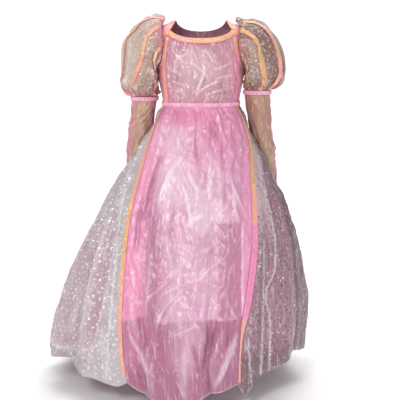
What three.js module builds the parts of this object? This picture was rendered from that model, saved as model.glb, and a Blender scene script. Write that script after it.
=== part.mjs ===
import * as THREE from "three";

// Child's princess costume dress, filled out as when it is worn: a fitted bodice, puffed sleeves that are
// caught in by a band above long narrow sleeves, and a floor-length skirt in layers.
// Millimetres, +Z up, front towards -Y, "left" towards -X. The origin is the middle of the shoulder line.

// Driving dimensions
const CLOTH = 1.5; // wall of every cloth panel
const SEAM = 0.3; // gap between pieces that are sewn together
const LAID = 0.6; // gap under a ribbon that lies on a panel
const RIBBON_THICK = 1.1;
const WAIST = -205; // height of the waist seam
const BACK_SEAM = 0.4; // gap down the centre back of the skirt
const NECK = { shoulderX: 61, cornerX: 76, cornerZ: -25, frontZ: -45, backZ: -28, ribbon: 12 };
const BACK_RIBBON = { inset: 0.6, ridgeZ: -5.2, reach: 82 }; // degrees either side of the centre back
const ARMHOLE = { top: -13, bottom: -115, front: 33, back: 30 }; // heights, and degrees from the side
const PUFF_SEAT = { above: 0.5, below: 1.5, beyond: 1 }; // how far outside the armhole a puff is sewn on
const WAIST_BAND = { top: -200.5, bottom: -208.5, thick: 2.2 };
const PLACKET = { half: 9, top: -42, bottom: -200 };
const PRINCESS_RIBBON = { top: -42.5, bottom: -199.9, half: 4, narrow: 1.6 };
const SLEEVE_BAND = { height: 9, thick: 2.4 };
const CUFF_Z = -433;
const ARM_CLEAR = 8; // between a long sleeve and the skirt that it presses in
const SKIRT_RIBBON_TOP = -209.3;
const COLUMNS = { frontPanel: 32, sideSkirt: 18, gore: 10, puff: 36, longSleeve: 20, waistBand: 44 };

const degree = Math.PI / 180;
const mix = (a, b, t) => a + (b - a) * t;
const clamp = (t) => Math.min(1, Math.max(0, t));
const ease = (t) => clamp(t) ** 2 * (3 - 2 * clamp(t));
const bump = (t) => Math.exp(-t * t);

// Half sizes of the bodice at each height
const BODICE_SQUARE = 2.4;
const BODICE = [
  { z: -205, side: 94, front: 73, back: 70 },
  { z: -180, side: 98, front: 77, back: 72 },
  { z: -145, side: 105, front: 83, back: 76 },
  { z: -110, side: 109, front: 86, back: 79 },
  { z: -75, side: 110, front: 79, back: 78 },
  { z: -45, side: 110, front: 61, back: 67 },
  { z: -20, side: 110, front: 37, back: 46 },
  { z: -8, side: 81, front: 19, back: 26 },
  { z: 0, side: 61, front: 2, back: 3 },
];

// Sideways place of the princess seams
const PRINCESS = [
  { z: -205, x: 82 },
  { z: -160, x: 86 },
  { z: -110, x: 89 },
  { z: -75, x: 86.5 },
  { z: -45, x: 81 },
  { z: -25, x: 76 },
];

// Heights of the rows of points in the bodice panels
const FRONT_ROWS = [-205, -178, -150, -128, -115, -105, -92, -67, -45, -25];
const SHOULDER_ROWS = [-20, -13, -7, -1.5];
const BACK_NECK_ROWS = [-34, -28, -26, -23];

// Reach of the outer skirt at each height, how square its corners are, and where its front edges run
const SKIRT = [
  { z: -205, left: 94, right: 94, front: 73, back: 70, square: 2.4, openLeft: 84, openRight: 80 },
  { z: -214, left: 96, right: 96, front: 75, back: 72, square: 2.4, openLeft: 89, openRight: 85 },
  { z: -240, left: 117, right: 112, front: 91, back: 86, square: 2.35, openLeft: 103, openRight: 99 },
  { z: -300, left: 153, right: 141, front: 122, back: 114, square: 2.3, openLeft: 125, openRight: 116 },
  { z: -370, left: 196, right: 176, front: 154, back: 148, square: 2.25, openLeft: 144, openRight: 118 },
  { z: -450, left: 243, right: 210, front: 186, back: 182, square: 2.2, openLeft: 165, openRight: 121 },
  { z: -540, left: 288, right: 237, front: 216, back: 213, square: 2.15, openLeft: 177, openRight: 119 },
  { z: -630, left: 332, right: 254, front: 241, back: 240, square: 2.1, openLeft: 184, openRight: 107 },
  { z: -710, left: 361, right: 266, front: 262, back: 260, square: 2.1, openLeft: 187, openRight: 94 },
  { z: -790, left: 386, right: 261, front: 275, back: 272, square: 2.1, openLeft: 183, openRight: 88 },
  { z: -890, left: 396, right: 253, front: 284, back: 280, square: 2.1, openLeft: 168, openRight: 86 },
];

// The layers under it hang closer to the body as far down as the wrists
const LINING = [
  { z: -205, left: 92.2, right: 92.2, front: 71.2, back: 68.2, square: 2.4 },
  { z: -214, left: 93.5, right: 93.5, front: 72.2, back: 69.2, square: 2.4 },
  { z: -240, left: 104, right: 102, front: 82, back: 78, square: 2.35 },
  { z: -300, left: 118, right: 115, front: 108, back: 102, square: 2.3 },
  { z: -370, left: 130, right: 127, front: 138, back: 132, square: 2.25 },
  { z: -450, left: 152, right: 146, front: 167, back: 162, square: 2.2 },
  { z: -540, left: 235, right: 205, front: 196, back: 192, square: 2.15 },
  { z: -630, left: 300, right: 238, front: 220, back: 218, square: 2.1 },
  { z: -710, left: 341, right: 252, front: 239, back: 237, square: 2.1 },
  { z: -840, left: 371, right: 243, front: 256, back: 252, square: 2.1 },
];
const PETTICOAT = [
  { z: -205, left: 90.4, right: 90.4, front: 69.4, back: 66.4, square: 2.4 },
  { z: -214, left: 90.8, right: 90.8, front: 69.8, back: 66.8, square: 2.4 },
  { z: -240, left: 94, right: 93, front: 74, back: 71, square: 2.35 },
  { z: -300, left: 104, right: 103, front: 95, back: 90, square: 2.3 },
  { z: -370, left: 116, right: 114, front: 122, back: 117, square: 2.25 },
  { z: -450, left: 136, right: 131, front: 149, back: 145, square: 2.2 },
  { z: -540, left: 200, right: 182, front: 178, back: 174, square: 2.15 },
  { z: -630, left: 268, right: 215, front: 201, back: 199, square: 2.1 },
  { z: -710, left: 312, right: 232, front: 218, back: 216, square: 2.1 },
];
const SKIRT_ROWS = [-205.3, -214, -230, -255, -300, -370, -460, -570, -680, -770];
const LAYER_ROWS = [-205.3, -214, -230, -270, -370, -460, -570, -700];
const PETTICOAT_HEM = -698;
const LINING_HEM = -822;

// Gores of both under layers, in degrees round the skirt from the centre front towards +X, and the seam
// between the side and back panels of each half of the glitter skirt, as a share of that half
const GORES = [
  { word: "front", from: -52, to: 52 },
  { word: "right", from: 52, to: 128 },
  { word: "back", from: 128, to: 232 },
  { word: "left", from: 232, to: 308 },
];
const GLITTER_SEAM = { left: 0.415, right: 0.45 };

// Height of the lower edge: across the front panel from -1 to 1, and round each half of the glitter skirt
const FRONT_HEM = [
  { place: -1, z: -848 },
  { place: -0.7, z: -876 },
  { place: -0.4, z: -885 },
  { place: 0, z: -883 },
  { place: 0.3, z: -868 },
  { place: 0.65, z: -858 },
  { place: 1, z: -847 },
];
const SIDE_HEM = [
  { place: 0, left: -848, right: -847 },
  { place: 0.028, left: -860, right: -877 },
  { place: 0.056, left: -858, right: -862 },
  { place: 0.09, left: -848, right: -843 },
  { place: 0.14, left: -840, right: -831 },
  { place: 0.19, left: -823, right: -819 },
  { place: 0.26, left: -829, right: -811 },
  { place: 0.36, left: -843, right: -830 },
  { place: 0.5, left: -857, right: -848 },
  { place: 0.75, left: -849, right: -853 },
  { place: 1, left: -852, right: -852 },
];

// Large folds of the skirt. In the front panel a place runs from -1 to 1, and in each half of the glitter
// skirt from 0 at the front ribbon to 1 at the centre back. Half widths are shares of the same run.
const FRONT_FOLDS = [
  { waist: -0.62, hem: -0.74, half: 0.08, depth: -8 },
  { waist: -0.42, hem: -0.48, half: 0.1, depth: 8 },
  { waist: -0.18, hem: -0.2, half: 0.09, depth: -7 },
  { waist: 0.02, hem: 0.08, half: 0.1, depth: 7 },
  { waist: 0.28, hem: 0.36, half: 0.08, depth: -9 },
  { waist: 0.5, hem: 0.62, half: 0.09, depth: 7 },
];
const LEFT_FOLDS = [
  { waist: 0.1, hem: 0.11, half: 0.035, depth: 12 },
  { waist: 0.18, hem: 0.19, half: 0.03, depth: -9 },
  { waist: 0.27, hem: 0.27, half: 0.04, depth: 13 },
  { waist: 0.37, hem: 0.37, half: 0.035, depth: -12 },
  { waist: 0.46, hem: 0.46, half: 0.04, depth: 12 },
  { waist: 0.57, hem: 0.56, half: 0.045, depth: -13 },
  { waist: 0.68, hem: 0.67, half: 0.04, depth: 12 },
  { waist: 0.78, hem: 0.78, half: 0.035, depth: -10 },
  { waist: 0.89, hem: 0.9, half: 0.04, depth: 11 },
];
const RIGHT_FOLDS = [
  { waist: 0.09, hem: 0.1, half: 0.035, depth: -9 },
  { waist: 0.19, hem: 0.2, half: 0.04, depth: 13 },
  { waist: 0.29, hem: 0.3, half: 0.035, depth: -12 },
  { waist: 0.4, hem: 0.39, half: 0.045, depth: 11 },
  { waist: 0.5, hem: 0.51, half: 0.035, depth: -10 },
  { waist: 0.6, hem: 0.61, half: 0.04, depth: 12 },
  { waist: 0.72, hem: 0.71, half: 0.04, depth: -13 },
  { waist: 0.82, hem: 0.82, half: 0.035, depth: 10 },
  { waist: 0.92, hem: 0.91, half: 0.03, depth: -8 },
];
const GATHERS = { front: 9, side: 8, puff: 8 };

// Ribbons down the front edges of the glitter skirt: width at each height
const SKIRT_RIBBONS = {
  left: [
    { z: -209, width: 9 },
    { z: -500, width: 11 },
    { z: -835, width: 8 },
  ],
  right: [
    { z: -209, width: 9 },
    { z: -460, width: 14 },
    { z: -680, width: 15 },
    { z: -740, width: 6 },
    { z: -845, width: 5 },
  ],
};

// Long sleeve at +X: the centre and radius of its rings
const ARM = [
  { z: -188, x: 142, y: 4, radius: 31.5 },
  { z: -215, x: 145, y: 8, radius: 30.5 },
  { z: -260, x: 151, y: 16, radius: 28.5 },
  { z: -310, x: 158, y: 26, radius: 27 },
  { z: -360, x: 166, y: 36, radius: 25 },
  { z: -400, x: 172, y: 44, radius: 23.5 },
  { z: -433, x: 177, y: 50, radius: 21.5 },
];

// Puff at +X: the outer and inner point of each ring, and how far it swells forwards and back
const PUFF = [
  { t: 0, outerX: 95, outerZ: -12, innerX: 111, innerZ: -117, front: 45, back: 43, y: 0 },
  { t: 0.08, outerX: 88, outerZ: -1, innerX: 111.5, innerZ: -121, front: 53, back: 50, y: 0 },
  { t: 0.18, outerX: 102, outerZ: 6, innerX: 111, innerZ: -129, front: 64, back: 59, y: 0 },
  { t: 0.3, outerX: 134, outerZ: 4, innerX: 110, innerZ: -138, front: 71, back: 66, y: 0 },
  { t: 0.42, outerX: 164, outerZ: -13, innerX: 108.5, innerZ: -146, front: 74, back: 69, y: 0 },
  { t: 0.54, outerX: 188, outerZ: -44, innerX: 106.5, innerZ: -154, front: 73, back: 68, y: 1 },
  { t: 0.66, outerX: 203, outerZ: -86, innerX: 105, innerZ: -162, front: 68, back: 63, y: 1 },
  { t: 0.77, outerX: 207, outerZ: -128, innerX: 104, innerZ: -169, front: 60, back: 57, y: 2 },
  { t: 0.87, outerX: 202, outerZ: -161, innerX: 104.5, innerZ: -176, front: 50, back: 49, y: 3 },
  { t: 0.95, outerX: 187, outerZ: -181, innerX: 106.5, innerZ: -183, front: 39.5, back: 39.5, y: 4 },
  { t: 1, outerX: 175, outerZ: -188, innerX: 109, innerZ: -188, front: 33, back: 33, y: 4 },
];
const PUFF_LEAN = 18; // how far the front and back of a puff lean in towards the bodice
// What each puff has of its own: how far its top is lifted, its low end spread and its band raised
const PUFF_SIDES = {
  left: { lift: 6, spread: -5, raise: 0 },
  right: { lift: -4, spread: 7, raise: 15 },
};

// Ribbons on each puff: degrees round it, from its outer side forwards, on the way down to the band
const PUFF_RIBBON_WIDTH = 12;
const PUFF_RIBBONS = {
  left: [
    { t: 0.11, front_inner: 92, front: 46, outer: 20, rear: -50, rear_inner: -112 },
    { t: 0.33, front_inner: 118, front: 65, outer: 22, rear: -51, rear_inner: -115 },
    { t: 0.55, front_inner: 130, front: 74, outer: 25, rear: -53, rear_inner: -118 },
    { t: 0.97, front_inner: 138, front: 60, outer: 28, rear: -55, rear_inner: -122 },
  ],
  right: [
    { t: 0.11, front_inner: 112, front: 51, outer: 23, rear: -50, rear_inner: -112 },
    { t: 0.33, front_inner: 124, front: 66, outer: 27, rear: -51, rear_inner: -115 },
    { t: 0.55, front_inner: 131, front: 77, outer: 34, rear: -53, rear_inner: -118 },
    { t: 0.97, front_inner: 138, front: 92, outer: 52, rear: -55, rear_inner: -122 },
  ],
};

// Smooth values of every column of a table at one height or place
function at(table, key, value) {
  const rising = table[1][key] > table[0][key];
  let i = 0;
  while (i < table.length - 2 && (rising ? value > table[i + 1][key] : value < table[i + 1][key])) i++;
  const [before, low, high, after] = [table[Math.max(0, i - 1)], table[i], table[i + 1],
    table[Math.min(table.length - 1, i + 2)]];
  const span = high[key] - low[key];
  const t = clamp((value - low[key]) / span);
  const found = {};
  for (const column of Object.keys(low)) {
    if (typeof low[column] !== "number") continue;
    const slope = (high[column] - low[column]) / span;
    const outerSlope = (a, b) => (a === b ? slope : (b[column] - a[column]) / (b[key] - a[key]));
    const first = (slope + outerSlope(before, low)) / 2;
    const second = (slope + outerSlope(high, after)) / 2;
    found[column] =
      low[column] * (1 + 2 * t) * (1 - t) ** 2 +
      high[column] * t * t * (3 - 2 * t) +
      span * (first * t * (1 - t) ** 2 - second * t * t * (1 - t));
  }
  return found;
}

// Point of a rounded oval: angle 0 is the front, 90 degrees is +X, 180 degrees is the back
function oval(angle, left, right, front, back, square) {
  const side = Math.sin(angle);
  const depth = Math.max(0, 1 - Math.abs(side) ** square) ** (1 / square);
  return [side * (side < 0 ? left : right), Math.cos(angle) > 0 ? -front * depth : back * depth];
}

// Front (-1) and back (1) halves of the bodice stand half a seam gap apart
function bodicePoint(angle, z, half) {
  const row = at(BODICE, "z", z);
  const [x, y] = oval(angle, row.side, row.side, row.front, row.back, BODICE_SQUARE);
  return new THREE.Vector3(x, y + (half * SEAM) / 2, z);
}

// Angle at which the bodice, or another row of half sizes, reaches a place sideways
const angleAt = (x, side) => Math.asin(clamp(x / side));
const bodiceAngle = (x, z) => angleAt(x, at(BODICE, "z", z).side);

// Outward normal of a surface point(u, v), taken across a small step within the limits of v
function normalAt(point, u, v, side, lowest = -Infinity, highest = Infinity) {
  const step = 1e-3;
  const alongU = point(u + step, v).sub(point(u - step, v));
  const alongV = point(u, Math.min(highest, v + step)).sub(point(u, Math.max(lowest, v - step)));
  return alongV.cross(alongU).multiplyScalar(side).normalize();
}

// A cloth wall over point(u, v), from one distance outside it to another. Its rims in the listed rows of
// v stand level, so that the next piece can meet them.
function wall(point, us, vs, from, to, { closed = false, side = 1, level = [] } = {}) {
  const positions = [];
  for (const [j, v] of vs.entries())
    for (const u of us) {
      const normal = normalAt(point, u, v, side, vs[0], vs.at(-1));
      if (level.includes(j)) normal.setZ(0).normalize();
      for (const distance of [from, to])
        positions.push(...point(u, v).addScaledVector(normal, distance).toArray());
    }
  const inner = (i, j) => 2 * (j * us.length + (i % us.length));
  const outer = (i, j) => inner(i, j) + 1;
  const faces = [];
  const quad = (a, b, c, d) => faces.push(a, b, c, a, c, d);
  const across = closed ? us.length : us.length - 1;
  const down = vs.length - 1;
  for (let j = 0; j < down; j++)
    for (let i = 0; i < across; i++) {
      quad(outer(i, j), outer(i + 1, j), outer(i + 1, j + 1), outer(i, j + 1));
      quad(inner(i, j), inner(i, j + 1), inner(i + 1, j + 1), inner(i + 1, j));
    }
  for (let i = 0; i < across; i++) {
    quad(outer(i + 1, 0), outer(i, 0), inner(i, 0), inner(i + 1, 0));
    quad(outer(i, down), outer(i + 1, down), inner(i + 1, down), inner(i, down));
  }
  for (let j = 0; j < down && !closed; j++) {
    quad(outer(0, j), outer(0, j + 1), inner(0, j + 1), inner(0, j));
    quad(outer(across, j + 1), outer(across, j), inner(across, j), inner(across, j + 1));
  }
  return facingOut(positions, faces);
}

// Turns the faces round where they enclose a negative volume
function facingOut(positions, faces) {
  const corner = (k) => new THREE.Vector3().fromArray(positions, 3 * k);
  let volume = 0;
  for (let k = 0; k < faces.length; k += 3)
    volume += corner(faces[k]).dot(corner(faces[k + 1]).cross(corner(faces[k + 2])));
  const geometry = new THREE.BufferGeometry();
  geometry.setAttribute("position", new THREE.Float32BufferAttribute(positions, 3));
  geometry.setIndex(volume < 0 ? faces.reverse() : faces);
  geometry.computeVertexNormals();
  return geometry;
}

// Height at a place along a list of rows: 0 in the first row, 1 in the second, and so on
function rowHeight(rows, v) {
  const i = Math.min(rows.length - 2, Math.max(0, Math.floor(v)));
  return mix(rows[i], rows[i + 1], v - i);
}
const indexes = (rows) => rows.map((_, i) => i);
const steps = (from, to, count) => Array.from({ length: count + 1 }, (_, i) => mix(from, to, i / count));
const ring = (count) => steps(0, 2 * Math.PI, count).slice(0, count);
const laidOn = { from: CLOTH + LAID, to: CLOTH + LAID + RIBBON_THICK };

const cloth = (color, roughness) =>
  new THREE.MeshStandardMaterial({ color, roughness, metalness: 0, side: THREE.DoubleSide });
const FINISH = {
  organza: cloth(0xe79cc0, 0.35),
  bodicePink: cloth(0xd9a3b4, 0.35),
  sidePink: cloth(0xb56f7f, 0.5),
  glitter: cloth(0xc9bfbc, 0.4),
  satin: cloth(0xd6a0b8, 0.4),
  net: cloth(0xe2c3cf, 0.6),
  sleeve: cloth(0xcfa6a6, 0.45),
  sequin: cloth(0xf3bd8c, 0.3),
  elastic: cloth(0xe58cb8, 0.5),
};

const dress = new THREE.Group();
function add(name, material, geometry) {
  const mesh = new THREE.Mesh(geometry, material);
  mesh.name = name;
  dress.add(mesh);
}

// Centre front of the bodice, between the princess seams, under a scooped neckline
const neckline = (u) => mix(NECK.frontZ, NECK.cornerZ, clamp(Math.abs(u)) ** 2.4);
function bodiceFrontPoint(u, v) {
  const z = mix(WAIST, neckline(u), v);
  return bodicePoint(u * bodiceAngle(at(PRINCESS, "z", z).x - SEAM / 2, z), z, -1);
}
function buildBodiceFront() {
  const rows = FRONT_ROWS.map((z) => (z - WAIST) / (NECK.cornerZ - WAIST));
  add("bodice_front", FINISH.bodicePink, wall(bodiceFrontPoint, steps(-1, 1, 18), rows, 0, CLOTH,
    { side: -1, level: [0] }));
  const ribbonPoint = (u, v) =>
    bodiceFrontPoint(u, 1 - ((1 - v) * NECK.ribbon) / (neckline(u) - WAIST));
  add("neck_ribbon_front", FINISH.sequin, wall(ribbonPoint, steps(-1, 1, 18), [0, 1], laidOn.from,
    laidOn.to, { side: -1 }));
}

// Edges of the side and back panels: towards the middle of the dress, then towards the armhole or side seam
function sideEdge(z) {
  if (z < NECK.cornerZ) return at(PRINCESS, "z", z).x + SEAM / 2;
  return mix(NECK.cornerX, NECK.shoulderX, clamp(1 - z / NECK.cornerZ) ** 0.8) + SEAM / 2;
}
function backNeckX(z) {
  const rise = clamp(z / NECK.backZ);
  return Math.max(SEAM / 2, NECK.shoulderX * (1 - rise ** 2.2) ** (1 / 2.2));
}
function armholeAngle(z, reach) {
  const middle = (ARMHOLE.top + ARMHOLE.bottom) / 2;
  const off = clamp(Math.abs((z - middle) / (ARMHOLE.top - middle)));
  return (90 - reach * Math.sqrt(1 - off * off)) * degree;
}

// A panel of level rows between its two edges. side is -1 or 1, half is -1 in front and 1 behind.
function rowPanel(side, half, rows, edge, reach) {
  return (u, v) => {
    const z = rowHeight(rows, v);
    const angle = mix(bodiceAngle(edge(z), z), armholeAngle(z, reach), u);
    return bodicePoint(side * (half < 0 ? angle : Math.PI - angle), z, half);
  };
}

function buildBodiceSide(side, word) {
  const rows = [...FRONT_ROWS, ...SHOULDER_ROWS];
  const point = rowPanel(side, -1, rows, sideEdge, ARMHOLE.front);
  add(`bodice_side_${word}`, FINISH.sidePink, wall(point, steps(0, 1, 4), indexes(rows), 0, CLOTH,
    { side: -side, level: [0] }));
  const ribbonRows = [NECK.cornerZ - NECK.ribbon, NECK.cornerZ, ...SHOULDER_ROWS];
  const ribbonPoint = (u, v) => {
    const z = rowHeight(ribbonRows, v);
    const start = bodiceAngle(sideEdge(z) + SEAM, z);
    const end = bodiceAngle(sideEdge(z) + NECK.ribbon, z);
    return bodicePoint(side * mix(start, end, u), z, -1);
  };
  add(`neck_ribbon_${word}`, FINISH.sequin, wall(ribbonPoint, steps(0, 1, 2), indexes(ribbonRows),
    laidOn.from, laidOn.to, { side: -side }));
}

function buildBodiceBack(side, word) {
  const rows = [...FRONT_ROWS.slice(0, -1), ...BACK_NECK_ROWS, ...SHOULDER_ROWS];
  const point = rowPanel(side, 1, rows, backNeckX, ARMHOLE.back);
  add(`bodice_back_${word}`, FINISH.bodicePink, wall(point, steps(0, 1, 7), indexes(rows), 0, CLOTH,
    { side, level: [0] }));
}

// Ribbon round the back of the neck, from shoulder to shoulder, and the lapped strip that closes the back
function buildBackTrims() {
  const { inset, ridgeZ } = BACK_RIBBON;
  const ridgeX = NECK.shoulderX + NECK.ribbon;
  const lowest = NECK.backZ + 1 - NECK.ribbon / 2;
  const ribbonPoint = (u, v) => {
    const across = Math.sin(u);
    const drop = Math.max(0, 1 - Math.abs(across) ** 2.2) ** (1 / 2.2);
    const x = across * mix(NECK.shoulderX, ridgeX, v);
    const z = mix(drop * NECK.backZ - inset, ridgeZ + drop * lowest, v);
    const angle = Math.PI - angleAt(Math.abs(x), at(BODICE, "z", z).side);
    return bodicePoint(Math.sign(x) * angle + (x === 0 ? Math.PI : 0), z, 1);
  };
  const reach = BACK_RIBBON.reach * degree;
  add("neck_ribbon_back", FINISH.sequin, wall(ribbonPoint, steps(-reach, reach, 22), [0, 1],
    laidOn.from, laidOn.to, { side: -1 }));
  const rows = [PLACKET.bottom, ...FRONT_ROWS.slice(1, -1), PLACKET.top];
  const placketPoint = (u, v) => {
    const z = rowHeight(rows, v);
    return bodicePoint(Math.PI - Math.asin(u / at(BODICE, "z", z).side), z, 1);
  };
  add("back_placket", FINISH.bodicePink, wall(placketPoint, steps(-PLACKET.half, PLACKET.half, 2),
    indexes(rows), laidOn.from, laidOn.to));
}

// Sequin ribbon down a princess seam. The one at +X is turned under below the bust to a narrow edge.
function buildPrincessRibbon(side, word) {
  const { top, bottom, half: full, narrow } = PRINCESS_RIBBON;
  const rows = [bottom, ...FRONT_ROWS.slice(1, -1), top];
  const point = (u, v) => {
    const z = rowHeight(rows, v);
    const half = side < 0 ? full : mix(full, narrow, ease((-70 - z) / 40));
    const x = at(PRINCESS, "z", z).x + u * half;
    return bodicePoint(side * bodiceAngle(x, z), z, -1);
  };
  add(`princess_ribbon_${word}`, FINISH.sequin, wall(point, steps(-1, 1, 2), indexes(rows),
    laidOn.from, laidOn.to, { side: -side }));
}

// Gathered band over the waist seam
function buildWaistBand() {
  const point = (angle, z) => {
    const row = at(BODICE, "z", Math.max(WAIST, z));
    const [x, y] = oval(angle, row.side, row.side, row.front, row.back, BODICE_SQUARE);
    return new THREE.Vector3(x, y, z);
  };
  const from = CLOTH + 2 * LAID;
  add("waist_band", FINISH.elastic, wall(point, ring(COLUMNS.waistBand), [WAIST_BAND.bottom, WAIST_BAND.top],
    from, from + WAIST_BAND.thick, { closed: true, side: -1, level: [0, 1] }));
}

// Where the top of a puff is sewn on, just outside the bodice round the armhole
function armholeSeat(round) {
  const top = ARMHOLE.top + PUFF_SEAT.above;
  const bottom = ARMHOLE.bottom - PUFF_SEAT.below;
  const z = mix(bottom, top, (1 + Math.cos(round)) / 2);
  const forwards = Math.sin(round);
  const reach = (forwards > 0 ? ARMHOLE.front : ARMHOLE.back) + PUFF_SEAT.beyond;
  const angle = (90 - forwards * reach) * degree;
  const half = forwards > 0 ? -1 : 1;
  const surface = (a, height) => bodicePoint(a, height, half);
  const normal = normalAt(surface, angle, z, -1);
  return surface(angle, z).addScaledVector(normal, CLOTH + 3 * SEAM);
}

// A puff's surface: t runs from the armhole to the band, round from the outer side forwards
function puffRing(side, t, round) {
  const row = at(PUFF, "t", t);
  const own = PUFF_SIDES[side < 0 ? "left" : "right"];
  const outwards = (1 + Math.cos(round)) / 2;
  const forwards = Math.sin(round);
  const lean = PUFF_LEAN * bump((t - 0.6) / 0.22) * forwards * forwards;
  const raised = own.raise * ease((t - 0.45) / 0.5);
  return new THREE.Vector3(
    mix(row.innerX + raised * 0.2, row.outerX + own.spread * bump((t - 0.72) / 0.2), outwards) - lean,
    row.y - forwards * (forwards > 0 ? row.front : row.back),
    mix(row.innerZ, row.outerZ + own.lift * bump((t - 0.2) / 0.16), outwards) + raised,
  );
}
function puffPoint(side, t, round) {
  const point = puffRing(side, t, round);
  const seated = clamp(1 - t / 0.3) ** 1.6;
  point.addScaledVector(armholeSeat(round).sub(puffRing(side, 0, round)), seated);
  const centre = puffRing(side, t, 0).add(puffRing(side, t, Math.PI)).multiplyScalar(0.5);
  const gathered = 2.6 * bump((t - 0.14) / 0.12) + 2.8 * bump((t - 0.88) / 0.09) + 1.2;
  const ends = ease(t / 0.1) * ease((1 - t) / 0.08);
  const fold = gathered * ends * Math.cos(GATHERS.puff * round + 2.2 * t);
  point.add(point.clone().sub(centre).normalize().multiplyScalar(fold));
  point.x *= side;
  return point;
}
function armPoint(side, z, round) {
  const row = at(ARM, "z", z);
  const x = row.x + row.radius * Math.cos(round);
  return new THREE.Vector3(side * x, row.y - row.radius * Math.sin(round), z);
}

const SLEEVE_ROWS = [-225, -265, -305, -350, -395];
const PUFF_ROWS = [0, 0.08, 0.18, 0.3, 0.42, 0.54, 0.66, 0.77, 0.87, 0.95, 1];
function buildSleeve(side, word) {
  const puff = (round, t) => puffPoint(side, t, round);
  add(`puff_${word}`, FINISH.glitter, wall(puff, ring(COLUMNS.puff), PUFF_ROWS, -CLOTH, 0,
    { closed: true, side: -side, level: [PUFF_ROWS.length - 1] }));
  for (const ribbon of Object.keys(PUFF_RIBBONS[word][0]).slice(1)) {
    const rows = [0.11, ...PUFF_ROWS.slice(2, -1), 0.97];
    const point = (u, t) => {
      const round = at(PUFF_RIBBONS[word], "t", t)[ribbon] * degree;
      return puff(round + (u * PUFF_RIBBON_WIDTH) / 2 / stretchOf(puff, round, t), t);
    };
    add(`puff_ribbon_${ribbon}_${word}`, FINISH.sequin, wall(point, [-1, 0, 1], rows,
      2 * LAID, 2 * LAID + RIBBON_THICK, { side: -side }));
  }
  const top = ARM[0].z + PUFF_SIDES[word].raise - SEAM;
  const arm = (round, z) => armPoint(side, z, round);
  const around = ring(COLUMNS.longSleeve);
  const rows = [top, top - SLEEVE_BAND.height - 1, ...SLEEVE_ROWS, CUFF_Z];
  add(`long_sleeve_${word}`, FINISH.sleeve, wall(arm, around, rows, 0, CLOTH,
    { closed: true, side: -side, level: [0, rows.length - 1] }));
  const from = CLOTH + LAID;
  add(`sleeve_band_${word}`, FINISH.elastic, wall(arm, around, [top, top - SLEEVE_BAND.height],
    from, from + SLEEVE_BAND.thick, { closed: true, side: -side, level: [0, 1] }));
}

// How far the long sleeve presses the skirt in at a point of it, and how much of that hollow is there
function armHollow(x, y, z, reach) {
  const arm = at(ARM, "z", Math.max(z, CUFF_Z));
  const away = Math.hypot(arm.x, arm.y);
  const radius = arm.radius + ARM_CLEAR;
  const width = Math.asin(radius / away);
  const off = Math.abs(Math.atan2(Math.abs(x), -y) - Math.atan2(arm.x, -arm.y)) / width;
  const share = (1 - ease((off - 1) / 1.2)) * (1 - ease((CUFF_Z - 12 - z) / 90));
  return { share, depth: Math.max(0, reach - (away - radius)) * share };
}
function layerPoint(table, angle, z, fold) {
  const row = at(table, "z", z);
  const [x, y] = oval(angle, row.left, row.right, row.front, row.back, row.square);
  const reach = Math.hypot(x, y);
  const hollow = armHollow(x, y, z, reach);
  const now = reach - hollow.depth + fold * (1 - hollow.share);
  return new THREE.Vector3((x * now) / reach, (y * now) / reach, z);
}

// Gathers under the waist seam, which open out into the listed folds lower down
function foldAt(place, z, folds, gathers, share) {
  const down = clamp((WAIST - 5 - z) / 640);
  let depth = 2.2 * ease((WAIST - z) / 40) * (1 - 0.75 * ease((-290 - z) / 160));
  depth *= Math.cos(2 * Math.PI * gathers * share + 3 * down);
  for (const fold of folds)
    depth += fold.depth * down ** 0.75 * bump((place - mix(fold.waist, fold.hem, down)) / fold.half);
  return depth;
}

// Front panel: u runs from -1 at the left ribbon to 1 at the right ribbon
const frontHem = (u) => at(FRONT_HEM, "place", u).z;
function frontPanelPoint(u, z) {
  const row = at(SKIRT, "z", z);
  const left = angleAt(row.openLeft - SEAM / 2, row.left);
  const right = angleAt(row.openRight - SEAM / 2, row.right);
  const width = row.openLeft + row.openRight;
  const flat = ease((((1 - Math.abs(u)) * width) / 2 - 2) / 16);
  const fold = flat * foldAt(u, z, FRONT_FOLDS, GATHERS.front, (u + 1) / 2);
  return layerPoint(SKIRT, mix(-left, right, (u + 1) / 2), z, fold);
}

// Half of the glitter skirt: u runs from 0 at its front ribbon to 1 at the centre back
const sideHem = (side, u) => at(SIDE_HEM, "place", u)[side < 0 ? "left" : "right"];
function sideSkirtPoint(side, u, z) {
  const row = at(SKIRT, "z", z);
  const open = side < 0 ? row.openLeft : row.openRight;
  const front = angleAt(open + SEAM / 2, side < 0 ? row.left : row.right);
  const back = Math.PI - Math.asin(BACK_SEAM / 2 / (side < 0 ? row.left : row.right));
  const width = (row.left + row.right) / 2 + row.back + row.front * 0.5;
  const flat = ease((Math.abs(u) * width - 17) / 22) * ease(((1 - u) * width - 4) / 20);
  const folds = side < 0 ? LEFT_FOLDS : RIGHT_FOLDS;
  return layerPoint(SKIRT, side * mix(front, back, u), z, flat * foldAt(u, z, folds, GATHERS.side, u));
}

// Length along a surface for each unit of its first number
const stretchOf = (point, u, v) => point(u - 0.01, v).distanceTo(point(u + 0.01, v)) / 0.02;

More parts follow.
